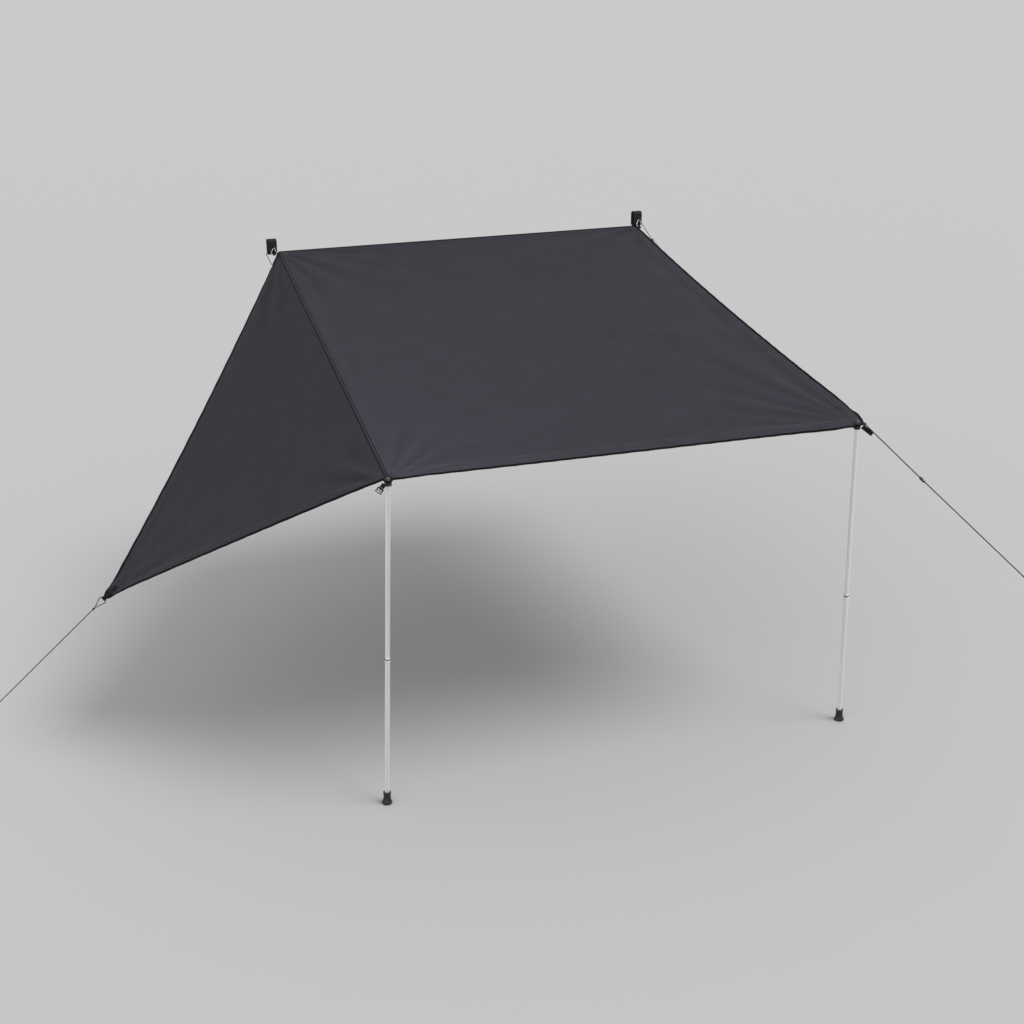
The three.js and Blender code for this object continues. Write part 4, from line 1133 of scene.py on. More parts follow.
@dataclass(frozen=True)
class Corner:
    """A pulled corner: the soft fan of its solid and its own sharper folds."""

    x: float
    y: float
    flat: float
    reach_share: float
    height_share: float
    folds: float
    turn: float
    pulls: tuple[Pull, ...] = ()

    def fan(self, x: Many, y: Many) -> Many:
        """Returns the height of the soft fan.

        Args:
            x: Lengths on the plan's x.
            y: Lengths on the plan's y.

        Returns:
            The height at each place.
        """
        dx, dy = x - self.x, y - self.y
        distance = np.hypot(dx, dy)
        ramp = ease((distance - self.flat) / 0.13)
        fade = np.exp(-distance / (0.42 * self.reach_share))
        return 0.006 * self.height_share * ramp * fade * np.cos(self.folds * np.arctan2(dy, dx) + self.turn)

    def creases(self, x: Many, y: Many) -> Many:
        """Returns the height of the sharper folds.

        Args:
            x: Lengths on the plan's x.
            y: Lengths on the plan's y.

        Returns:
            The height at each place.
        """
        total = np.zeros_like(x)
        for pull in self.pulls:
            turn = math.radians(pull.turn)
            dx, dy = x - self.x, y - self.y
            along = dx * math.cos(turn) + dy * math.sin(turn)
            off = dy * math.cos(turn) - dx * math.sin(turn)
            width = pull.width + pull.spread * np.clip(along, 0, None)
            hill = np.exp(-np.abs(off / width) ** 1.6)
            fading = np.exp(-((np.clip(along, 0, None) / pull.reach) ** 2))
            total += pull.height * hill * ease((along - pull.start) / 0.09) * fading
        return total


@dataclass(frozen=True)
class RoofShape:
    """Outline and relief of the roof cloth, in the plane through its corners."""

    rear_width: float = 2.427
    front_width: float = 2.497
    projection: float = 2.904
    rise: float = 0.441
    overhang_left: float = 0.006
    overhang_right: float = 0.032
    overhang_side: float = 0.066
    hollow: float = 0.034
    turn_side: float = 0.119
    turn_front: float = 0.078
    pull_side: float = 0.035
    pull_front: float = 0.017
    belly: float = 0.026
    edge_depth: float = 0.013
    edge_inset: float = 0.105
    edge_width: float = 0.06
    ridge_height: float = 0.0022
    ridge_inset: float = 0.05
    ridge_width: float = 0.026
    fold_start: float = 0.13
    spigot: Vector = field(default_factory=lambda: Vector((0.009, -2.904, -0.5215)))

    @property
    def lean(self) -> float:
        """How far the crease leans along the vehicle."""
        return (self.front_width - self.rear_width) / 2

    @property
    def slope(self) -> float:
        """The length of the roof up its slope."""
        return math.hypot(self.projection, self.rise)

    @property
    def axes(self) -> Axes:
        """The axes of the roof's plane at the left spigot.

        Returns:
            The axes: along the vehicle, up the slope and off the cloth.
        """
        turn = math.atan2(self.rise, self.projection)
        cosine, sine = math.cos(turn), math.sin(turn)
        return Axes(self.spigot, ALONG, Vector((0, cosine, sine)), Vector((0, -sine, cosine)))

    @property
    def corners(self) -> tuple[Corner, ...]:
        """The four pulled corners: front left, front right, rear right, rear left.

        Returns:
            The corners, with their folds.
        """
        return (
            Corner(0, 0, 0.062, 0.9, 1, 11, 0.4, (
                Pull(84, -0.0075, 0.4, 0.006), Pull(76, 0.0068, 0.42, 0.007), Pull(65, -0.006, 0.42, 0.007),
                Pull(54, 0.0062, 0.46, 0.007), Pull(44, -0.0058, 0.42, 0.006), Pull(35, 0.0056, 0.4, 0.006),
                Pull(25, -0.0052, 0.38, 0.006), Pull(16, 0.0046, 0.36, 0.006), Pull(8, -0.003, 0.4, 0.006),
            )),
            Corner(self.front_width, 0, 0.062, 1.2, 1.15, 12, 1.1, (
                Pull(174, 0.0036, 0.55, 0.007), Pull(168, -0.0046, 0.6, 0.008), Pull(160, 0.003, 0.7, 0.009),
                Pull(151, -0.0034, 0.62, 0.009), Pull(142, 0.0034, 0.75, 0.01), Pull(133, -0.0044, 0.8, 0.01),
                Pull(124, 0.0034, 0.85, 0.01), Pull(115, -0.0046, 1.0, 0.011), Pull(106, 0.004, 1.1, 0.012),
                Pull(99, -0.003, 0.8, 0.009),
            )),
            Corner(self.lean + self.rear_width, self.slope, 0.07, 1, 0.9, 10, 2, (
                Pull(184, 0.003, 0.4, 0.007), Pull(192, -0.0036, 0.45, 0.008), Pull(203, 0.003, 0.5, 0.009),
                Pull(218, -0.003, 0.5, 0.01), Pull(236, 0.0026, 0.45, 0.011), Pull(251, -0.0036, 0.7, 0.01),
                Pull(262, 0.0032, 0.8, 0.01),
            )),
            Corner(self.lean, self.slope, 0.07, 1.3, 1.2, 11, 0.9, (
                Pull(-5, 0.0034, 0.5, 0.007), Pull(-11, -0.0044, 0.55, 0.008), Pull(-19, 0.0036, 0.6, 0.009),
                Pull(-29, -0.004, 0.62, 0.01), Pull(-41, 0.0032, 0.6, 0.011), Pull(-54, -0.0032, 0.65, 0.011),
                Pull(-67, 0.0036, 0.7, 0.011), Pull(-78, -0.004, 0.8, 0.01), Pull(-85, 0.0036, 0.9, 0.009),
            )),
        )

    def left_edge(self, y: Many) -> Many:
        """Returns where the crease lies at a height up the slope."""
        return self.lean * y / self.slope

    def right_edge(self, y: Many) -> Many:
        """Returns where the hollow right edge lies.

        Args:
            y: Lengths up the slope.

        Returns:
            Its place across, for each length.
        """
        share = y / self.slope
        straight = between(self.front_width + self.overhang_side, self.rear_width + self.lean, share)
        hollow = self.hollow * 4 * np.clip(share, 0, None) * (1 - share)
        turn = np.clip((self.turn_side - y - self.pull_front) / self.turn_side, 0, None)
        return straight - hollow - self.pull_side * turn ** 1.5

    def front_edge(self, x: Many) -> Many:
        """Returns where the front edge lies.

        Args:
            x: Lengths across.

        Returns:
            Its place up the slope, for each length.
        """
        straight = -between(self.overhang_left, self.overhang_right, x / self.front_width)
        turn = np.clip((x - self.front_width + self.turn_front - self.pull_side) / self.turn_front, 0, None)
        return straight + self.pull_front * turn ** 1.5

    def cloth(self, s: Many, t: Many) -> Plan:
        """Returns the plan lengths at shares across and up the cloth.

        Args:
            s: Shares across the cloth.
            t: Shares up it.

        Returns:
            The lengths on x and on y.
        """
        x = between(0.0, self.front_width, s)
        y = between(0.0, self.slope, t)
        for _ in range(4):
            y = between(self.front_edge(x), self.slope, t)
            x = between(self.left_edge(y), self.right_edge(y), s)
        return x, y

    def near_edge(self, x: Many, y: Many) -> Many:
        """Returns how far inside the nearest free edge a place lies."""
        return np.minimum(np.minimum(y - self.front_edge(x), self.slope - y), self.right_edge(y) - x)

    def sharp(self, x: Many, y: Many) -> Many:
        """Returns the height of the sharper folds and the ripples along the hems.

        Args:
            x: Lengths on the plan's x.
            y: Lengths on the plan's y.

        Returns:
            The height at each place.
        """
        from_crease = x - self.left_edge(y)
        creases = sum(corner.creases(x, y) for corner in self.corners)
        ends, side = np.minimum(y, self.slope - y) < 0.2, self.right_edge(y) - x < 0.2
        ripples = np.sin(x * 61 + 2 * np.sin(x * 7)) * ends + np.sin(y * 57 + 2 * np.sin(y * 6)) * side
        pucker = 0.0007 * np.exp(-((self.near_edge(x, y) / 0.07) ** 2)) * ripples
        # The ridge beside the crease is a low raised fold. Through the painted light mark it also paints a
        # highlight band on the roof beside the crease.
        hill = np.exp(-(((from_crease - self.ridge_inset) / self.ridge_width) ** 2))
        ridge = self.ridge_height * hill * np.sin(math.pi * np.clip(y / self.slope, 0, 1)) ** 2
        return ease((self.slope - y) / 0.06) * (ease(from_crease / 0.1) * (creases + pucker) + ridge)

    def fine(self, x: Many, y: Many) -> Many:
        """Returns the height of the sharper folds, ripples and broad waves.

        Args:
            x: Lengths on the plan's x.
            y: Lengths on the plan's y.

        Returns:
            The height at each place.
        """
        broad = np.sin(3.1 * x + 1.7 * y + 0.4) * np.sin(2.3 * y - 1.1 * x)
        waves = 0.0012 * (broad + 0.6 * np.sin(6.3 * x - 3.4 * y) * np.sin(4.1 * y + 1.2))
        calm = ease(self.near_edge(x, y) / 0.3) * ease((x - self.left_edge(y)) / 0.1)
        return self.sharp(x, y) + waves * calm

    def fade(self, x: Many, y: Many) -> Many:
        """Returns the painted light gradient: how much lighter the cloth is painted than its finish, most at
        the heel, least at the rear.

        Args:
            x: Lengths on the plan's x.
            y: Lengths on the plan's y.

        Returns:
            The steps of lightening at each place.
        """
        up = np.clip(y / self.slope, 0, 1)
        heel = 0.7 * np.exp(-(x ** 2 + y ** 2) / 0.2 ** 2)
        front = 1.2 * np.exp(-((x / 0.8) ** 2) - (y / 0.9) ** 2)
        return heel + front - 1.1 * up ** 3 - 0.3 * (x / self.front_width) * (1 - up)

    def relief(self, x: Many, y: Many) -> Many:
        """Returns the height of the cloth over the plane of its corners.

        Args:
            x: Lengths on the plan's x.
            y: Lengths on the plan's y.

        Returns:
            The height at each place.
        """
        across = np.clip((x - self.left_edge(y)) / (self.front_width - self.left_edge(y)), 0, 1)
        up = np.clip(y / self.slope, 0, 1)
        belly = self.belly * np.sin(math.pi * across) * np.sin(math.pi * up)
        from_edge = (self.right_edge(y) - x - self.edge_inset) / self.edge_width
        edge_fold = self.edge_depth * np.exp(-(from_edge ** 2)) * np.sin(math.pi * up)
        held = ease((x - self.left_edge(y)) / self.fold_start)
        folds = sum(corner.fan(x, y) for corner in self.corners)
        return held * folds * ease((self.slope - y) / self.fold_start) - belly - edge_fold

    def surface(self, x: Many, y: Many, lift: float = 0.0) -> Many:
        """Returns points of the part on the cloth, or lifted off it."""
        return self.axes.places(x, y, self.relief(x, y) + self.fine(x, y) + lift)


@dataclass(frozen=True)
class WingShape:
    """Outline and relief of the wing cloth, in the plane through its corners."""

    length: float = 1.68
    tip_along: float = 0.845
    heel: float = 0.012
    lower_hollow: float = 0.012
    side_hollow: float = 0.062
    tip_cut: float = 0.012
    belly: float = 0.02
    drop: float = 37.86
    pleat: float = 30.0
    pleat_reach: float = 0.1
    pleat_width: float = 0.03
    roof: RoofShape = field(default_factory=RoofShape)

    @property
    def head(self) -> float:
        """The length of the crease."""
        return math.hypot(self.roof.lean, self.roof.slope)

    @property
    def axes(self) -> Axes:
        """The axes of the wing's plane: up the crease, out to the tip, and its upper side.

        Returns:
            The axes, from the spigot.
        """
        roof_up = self.roof.axes.z
        crease = Vector((self.roof.lean, self.roof.projection, self.roof.rise)).normalized()
        out = roof_up.cross(crease).normalized()
        down = roof_up.cross(crease).cross(crease).normalized()
        way = out * math.cos(math.radians(self.drop)) + down * math.sin(math.radians(self.drop))
        return Axes(self.roof.spigot, crease, way, crease.cross(way).normalized())

    @property
    def corners(self) -> tuple[Corner, ...]:
        """The three pulled corners: heel, head and tip.

        Returns:
            The corners, with their folds.
        """
        return (
            Corner(0, 0, 0.05, 1, 1, 12, 0.5, (
                Pull(6, 0.004, 0.45, 0.007), Pull(15, -0.0046, 0.42, 0.008), Pull(26, 0.0042, 0.5, 0.009),
                Pull(38, -0.0046, 0.46, 0.009), Pull(49, 0.003, 0.4, 0.008), Pull(57, -0.0032, 0.42, 0.007),
            )),
            Corner(self.head, 0, 0.1, 1.2, 1, 14, 1.4, (
                Pull(176, 0.003, 0.8, 0.008), Pull(170, -0.0044, 0.7, 0.009), Pull(163, 0.0032, 0.65, 0.009),
                Pull(156, -0.0042, 0.8, 0.01), Pull(149, 0.0034, 0.9, 0.009), Pull(144, -0.003, 0.6, 0.008),
            )),
            Corner(self.tip_along, self.length, 0.116, 0.9, 0.8, 9, 0.3, (
                Pull(250, 0.003, 0.55, 0.008), Pull(260, -0.0036, 0.6, 0.009), Pull(272, 0.0028, 0.5, 0.01),
                Pull(286, -0.003, 0.55, 0.01), Pull(300, 0.0034, 0.6, 0.009), Pull(311, -0.0038, 0.8, 0.009),
            )),
        )

    @property
    def inward(self) -> Vector:
        """The local direction from the tip inwards, halfway between the edges.

        Returns:
            The direction.
        """
        heel = Vector((-self.tip_along, -self.length, 0)).normalized()
        head = Vector((self.head - self.tip_along, -self.length, 0)).normalized()
        return (heel + head).normalized()

    def turned(self, x: Many, y: Many) -> Many:
        """Returns the height of the pleat in which the tab turns the tip.

        Args:
            x: Lengths on the plan's x.
            y: Lengths on the plan's y.

        Returns:
            The height at each place.
        """
        way = self.inward
        dx, dy = x - self.tip_along, y - self.length
        along, off = dx * way.x + dy * way.y, dy * way.x - dx * way.y
        steep = math.tan(math.radians(self.pleat)) * (1 - ease((along - self.pleat_reach) / 0.12))
        return off * steep / (1 + (off / self.pleat_width) ** 4)

    def lower(self, q: Many) -> Many:
        """Returns the lower edge's length along the crease at a share of the way out."""
        return between(self.heel, self.tip_along, q) + self.lower_hollow * 4 * q * (1 - q)

    def side(self, q: Many) -> Many:
        """Returns the far edge's length along the crease at a share of the way out."""
        return between(self.head, self.tip_along, q) - self.side_hollow * 4 * q * (1 - q)

    @property
    def end(self) -> float:
        """The share of the way out at which the cloth is cut."""
        return 1 - self.tip_cut / self.length

    def cloth(self, s: Many, t: Many) -> Plan:
        """Returns the plan lengths at shares along the crease and out to the tip."""
        q = t * self.end
        return between(self.lower(q), self.side(q), s), q * self.length

    def near_edge(self, x: Many, y: Many) -> Many:
        """Returns how far inside the nearest free edge a place lies."""
        out = np.clip(y / self.length, 0, 1)
        return np.minimum(x - self.lower(out), self.side(out) - x)

    def sharp(self, x: Many, y: Many) -> Many:
        """Returns the height of the sharper folds and the ripples along the hems.

        Args:
            x: Lengths on the plan's x.
            y: Lengths on the plan's y.

        Returns:
            The height at each place.
        """
        creases = sum(corner.creases(x, y) for corner in self.corners)
        pucker = 0.0007 * np.exp(-((self.near_edge(x, y) / 0.06) ** 2)) * np.sin(y * 59 + 2 * np.sin(y * 8))
        tip = ease((np.hypot(x - self.tip_along, y - self.length) - 0.12) / 0.1)
        return ease(y / 0.09) * tip * (creases + pucker)

    def fine(self, x: Many, y: Many) -> Many:
        """Returns the height of the sharper folds, ripples and broad waves.

        Args:
            x: Lengths on the plan's x.
            y: Lengths on the plan's y.

        Returns:
            The height at each place.
        """
        waves = 0.0012 * np.sin(3.6 * x + 2.1 * y) * np.sin(3.9 * y - 1.3 * x + 0.8)
        tip = ease((np.hypot(x - self.tip_along, y - self.length) - 0.12) / 0.1)
        return self.sharp(x, y) + waves * ease(self.near_edge(x, y) / 0.25) * ease(y / 0.09) * tip

    def fade(self, x: Many, y: Many) -> Many:
        """Returns the painted light gradient: how much lighter the cloth is painted than its finish, most at
        the heel, least at the head.
        """
        return 0.2 + 0.8 * np.exp(-(x ** 2 + y ** 2) / 0.2 ** 2) - 1.15 * x / self.head

    def relief(self, x: Many, y: Many) -> Many:
        """Returns the height of the cloth over the plane of its corners.

        Args:
            x: Lengths on the plan's x.
            y: Lengths on the plan's y.

        Returns:
            The height at each place.
        """
        out = np.clip(y / self.length, 0, 1)
        left = between(0.034, self.tip_along, out)
        right = between(self.head, self.tip_along, out)
        across = np.clip((x - left) / np.maximum(right - left, 0.011), 0, 1)
        belly = self.belly * np.sin(math.pi * across) * np.sin(math.pi * out)
        return ease(y / 0.13) * sum(corner.fan(x, y) for corner in self.corners) - belly + self.turned(x, y)

    def surface(self, x: Many, y: Many, lift: float = 0.0) -> Many:
        """Returns points of the part on the cloth, or lifted off it."""
        return self.axes.places(x, y, self.relief(x, y) + self.fine(x, y) + lift)


Shape = RoofShape | WingShape
Edge = Callable[[Many, Many], Plan]


def fold_wear_and_painted_light_mark(shape: Shape, x: Many, y: Many) -> Many:
    """Returns how far a fold stands up, partly real crease wear and partly painted fold light and shade, with
    the cloth's painted light gradient added.
    """
    return np.clip(shape.sharp(x, y) / FOLD_FULL, -FOLD_MOST, FOLD_MOST) + shape.fade(x, y)


def cloth_sheet(name: str, shape: Shape, columns: int, rows: int, thickness: float) -> Piece:
    """Makes the one curved sheet of a cloth.

    Args:
        name: The piece's name.
        shape: The cloth.
        columns: Faces across it.
        rows: Faces up or out.
        thickness: Its thickness.

    Returns:
        The sheet.
    """

    def layer(s: Many, t: Many) -> Laid:
        """Lays the grid over the whole cloth."""
        x, y = shape.cloth(s, t)
        return Laid(shape.surface(x, y), np.stack([x, y], axis=1), {"fold_wear_and_painted_light": fold_wear_and_painted_light_mark(shape, x, y)})

    return thickened(laid_grid(name, columns, rows, layer), thickness)


def last_held(holds: Callable[[Many], Many], far: Many) -> Many:
    """Finds by halving how far a test holds.

    Args:
        holds: The test, true from 0 up to some value.
        far: A value past the last one, for each row.

    Returns:
        The last value at which it holds.
    """
    low, high = np.zeros_like(far), far
    for _ in range(30):
        middle = (low + high) / 2
        held = holds(middle)
        low, high = np.where(held, middle, low), np.where(held, high, middle)
    return low


def round_patch(shape: Shape, x: Many, y: Many, centre: tuple[float, float], radius: float) -> Laid:
    """Returns a patch's points on its cloth, with its round edge marked."""
    rim = radius - np.hypot(x - centre[0], y - centre[1])
    return Laid(shape.surface(x, y), np.stack([x, y], axis=1), {"rim": rim, "fold_wear_and_painted_light": 0 * rim})


def sew_arc(
    sewing: Sewing, shape: Shape, centre: tuple[float, float], reach: float, turns: Many, lift: float,
) -> None:
    """Sews an arc on a cloth.

    Args:
        sewing: What takes the stitches.
        shape: The cloth.
        centre: Plan lengths of the arc's middle.
        reach: Its radius.
        turns: The turns of its points, in degrees.
        lift: How far over the cloth it lies.
    """
    turns = np.radians(turns)
    x, y = centre[0] + reach * np.cos(turns), centre[1] + reach * np.sin(turns)
    sewing.run([Vector(point) for point in shape.surface(x, y, lift)], shape.axes.z)


def hem(
    name: str, shape: Shape, edge: Edge, width: float, steps: int, thickness: float, over: float = 0.0,
) -> Piece:
    """Makes a folded hem or a binding that lies on the edge of a cloth.

    Args:
        name: The piece's name.
        shape: The cloth that it follows.
        edge: Gives plan lengths for a share along the edge and a length in from it.
        width: How far in the hem reaches.
        steps: Faces along it.
        thickness: Its thickness through the cloth.
        over: How far it reaches past the cloth's edge.

    Returns:
        The hem.
    """

    def layer(s: Many, t: Many) -> Laid:
        """Lays the grid along the edge.

        Args:
            s: Shares along the edge.
            t: Shares in from it.

        Returns:
            The points that the grid gets.
        """
        inward = between(-over, width, t)
        x, y = edge(s, inward)
        marks = {"rim": width - inward, "edge": inward, "fold_wear_and_painted_light": fold_wear_and_painted_light_mark(shape, x, y)}
        return Laid(shape.surface(x, y), np.stack([x, y], axis=1), marks)

    return thickened(laid_grid(name, steps, max(4, int(width / HEM_COLUMN)), layer), thickness, HEM_ROUNDING)


def edge_line(
    shape: Shape, edge: Edge, inward: float, lift: float, start: float = 0.0, end: float = 1.0,
    count: int = 160,
) -> list[Vector]:
    """Returns points that run beside an edge of a cloth.

    Args:
        shape: The cloth.
        edge: Gives plan lengths for a share along the edge and a length in from it.
        inward: How far in from the edge it runs.
        lift: How far over the cloth it lies.
        start: The share at which it starts.
        end: The share at which it ends.
        count: How many points it has.

    Returns:
        The points.
    """
    s = np.linspace(start, end, count)
    x, y = edge(s, np.full_like(s, inward))
    return [Vector(point) for point in shape.surface(x, y, lift)]


def corner_patch(
    name: str, shape: RoofShape, across: float, up: float, centre: tuple[float, float], radius: float,
    thickness: float,
) -> Piece:
    """Makes a round-edged reinforcing patch in a corner of the roof.

    Args:
        name: The piece's name.
        shape: The roof.
        across: 0 or 1, the corner's share across the cloth.
        up: 0 or 1, the corner's share up the cloth.
        centre: Plan lengths of the middle of the round edge.
        radius: The radius of the round edge.
        thickness: The patch's thickness through the cloth.

    Returns:
        The patch.
    """

    def layer(s: Many, t: Many) -> Laid:
        """Lays the grid as rays out of the corner.

        Args:
            s: Shares round the corner.
            t: Shares out along a ray.

        Returns:
            The points that the grid gets.
        """
        turn = s * math.pi / 2
        toward_x, toward_y = (1 - 2 * across) * np.cos(turn), (1 - 2 * up) * np.sin(turn)

        def plan(reach: Many) -> Plan:
            """Returns plan lengths at a reach along each ray."""
            over, along = toward_x * reach / shape.front_width, toward_y * reach / shape.slope
            return shape.cloth(across + over, up + along)

        def inside(reach: Many) -> Many:
            """Tells whether each ray is still inside the round edge."""
            x, y = plan(reach)
            return np.hypot(x - centre[0], y - centre[1]) < radius

        return round_patch(shape, *plan(last_held(inside, np.full_like(s, 3 * radius)) * t), centre, radius)

    patch = laid_grid(name, 36, 12, layer)
    made = bmesh.new()
    made.from_mesh(patch.data)
    bmesh.ops.remove_doubles(made, verts=made.verts[:], dist=MERGE)
    bmesh.ops.recalc_face_normals(made, faces=made.faces[:])
    made.to_mesh(patch.data)
    made.free()
    return thickened(patch, thickness, HEM_ROUNDING)


# ---------------------------------------------------------------- sub-assemblies


@dataclass
class Roof:
    """The roof cloth with its hems, edge binding and corner patches."""

    shape: RoofShape = field(default_factory=RoofShape)
    cloth_thickness: float = 0.0012
    hem_thickness: float = 0.0022
    binding_width: float = 0.0155
    binding_thickness: float = 0.0036
    patch_thickness: float = 0.003
    front_hem: float = 0.092
    rear_hem: float = 0.108
    side_hem: float = 0.062
    corner_reach: float = 0.02
    front_radius: float = 0.062
    rear_radius: float = 0.07
    columns: int = 150
    rows: int = 176

    def corner(self, s: Many) -> Many:
        """Returns where the front edge lies at the right corner, for each share."""
        return self.shape.front_edge(np.full_like(s, self.shape.front_width + self.corner_reach))

    def front(self, s: Many, inward: Many) -> Plan:
        """Returns plan lengths beside the front edge.

        Args:
            s: Shares along the edge.
            inward: How far in from the edge.

        Returns:
            The lengths on x and on y.
        """
        low = self.shape.left_edge(inward)
        x = between(low, self.shape.right_edge(self.corner(s) + inward), s)
        return x, self.shape.front_edge(x) + inward

    def rear(self, s: Many, inward: Many) -> Plan:
        """Returns plan lengths beside the rear edge."""
        y = self.shape.slope - inward
        return between(self.shape.left_edge(y), self.shape.right_edge(y), s), y

    def right(self, s: Many, inward: Many) -> Plan:
        """Returns plan lengths beside the right edge."""
        y = between(self.corner(s), self.shape.slope, s)
        return self.shape.right_edge(y) - inward, y

    @property
    def patched(self) -> list[tuple[str, int, int, tuple[float, float], float, tuple[int, int]]]:
        """Each patch: its name, corner shares, middle and radius, and where its round seam starts and ends.

        Returns:
            A row for each patch.
        """
        shape, front, rear = self.shape, self.front_radius, self.rear_radius
        return [
            ("front_left", 0, 0, (0.0, 0.0), front, (4, 84)),
            ("front_right", 1, 0, (shape.front_width, 0.0), front, (97, 186)),
            ("rear_right", 1, 1, (shape.lean + shape.rear_width, shape.slope), rear, (184, 264)),
            ("rear_left", 0, 1, (shape.lean, shape.slope), rear, (276, 356)),
        ]

    def sheet(self) -> Piece:
        """Builds the one curved sheet of the roof."""
        piece = cloth_sheet("roof_sheet", self.shape, self.columns, self.rows, self.cloth_thickness)
        return wardrobe.dress(piece, ROOF_CLOTH, "canopy", "canopy_panel")

    def hems(self) -> list[Piece]:
        """Builds the hems and the binding on the edges.

        Returns:
            The pieces.
        """
        across, up, shape = self.columns, self.rows, self.shape
        pieces = []
        for name, edge, width, steps, finish, *node in (
            ("front_hem", self.front, self.front_hem, across, ROOF_HEM),
            ("rear_hem", self.rear, self.rear_hem, across, REAR_HEM, "tape_rear"),
            ("right_hem", self.right, self.side_hem, up, ROOF_HEM),
        ):
            piece = hem(name, shape, edge, width, steps, self.hem_thickness)
            pieces.append(wardrobe.dress(piece, finish, "canopy", *node))
        for name, edge, steps, *node in (
            ("front_binding", self.front, across, "tape_front"),
            ("right_binding", self.right, up, "tape_right"),
            ("rear_binding", self.rear, across),
        ):
            piece = hem(name, shape, edge, self.binding_width, steps, self.binding_thickness, BINDING_OVER)
            pieces.append(wardrobe.dress(piece, BINDING, "canopy", *node))
        return pieces

    def patches(self) -> list[Piece]:
        """Builds the four reinforcing patches.

        Returns:
            The patches.
        """
        return [
            wardrobe.dress(
                corner_patch(f"{name}_patch", self.shape, across, up, centre, radius, self.patch_thickness),
                ROOF_HEM, "canopy", f"patch_{name}",
            )
            for name, across, up, centre, radius, _ in self.patched
        ]

    def seams(self) -> Piece:
        """Sews the hems and the round edges of the patches.

        Returns:
            The stitches.
        """
        sewing = Sewing("roof_stitching", Stitch.CLOTH)
        top = self.hem_thickness / 2 + STITCH_LIFT
        for edge, width in (
            (self.front, self.front_hem), (self.rear, self.rear_hem), (self.right, self.side_hem),
        ):
            sewing.run(edge_line(self.shape, edge, width - SEAM_INSET, top, 0.035, 0.965), self.shape.axes.z)
        top = self.patch_thickness / 2 + STITCH_LIFT
        for _, _, _, centre, radius, (start, end) in self.patched:
            sew_arc(sewing, self.shape, centre, radius - SEAM_INSET, np.linspace(start, end, 40), top)
        return wardrobe.dress(sewing.build(), ROOF_THREAD, "canopy")

    def build(self) -> None:
        """Builds the roof's pieces."""
        sheet = self.sheet()
        parts = self.hems() + self.patches() + [self.seams()]


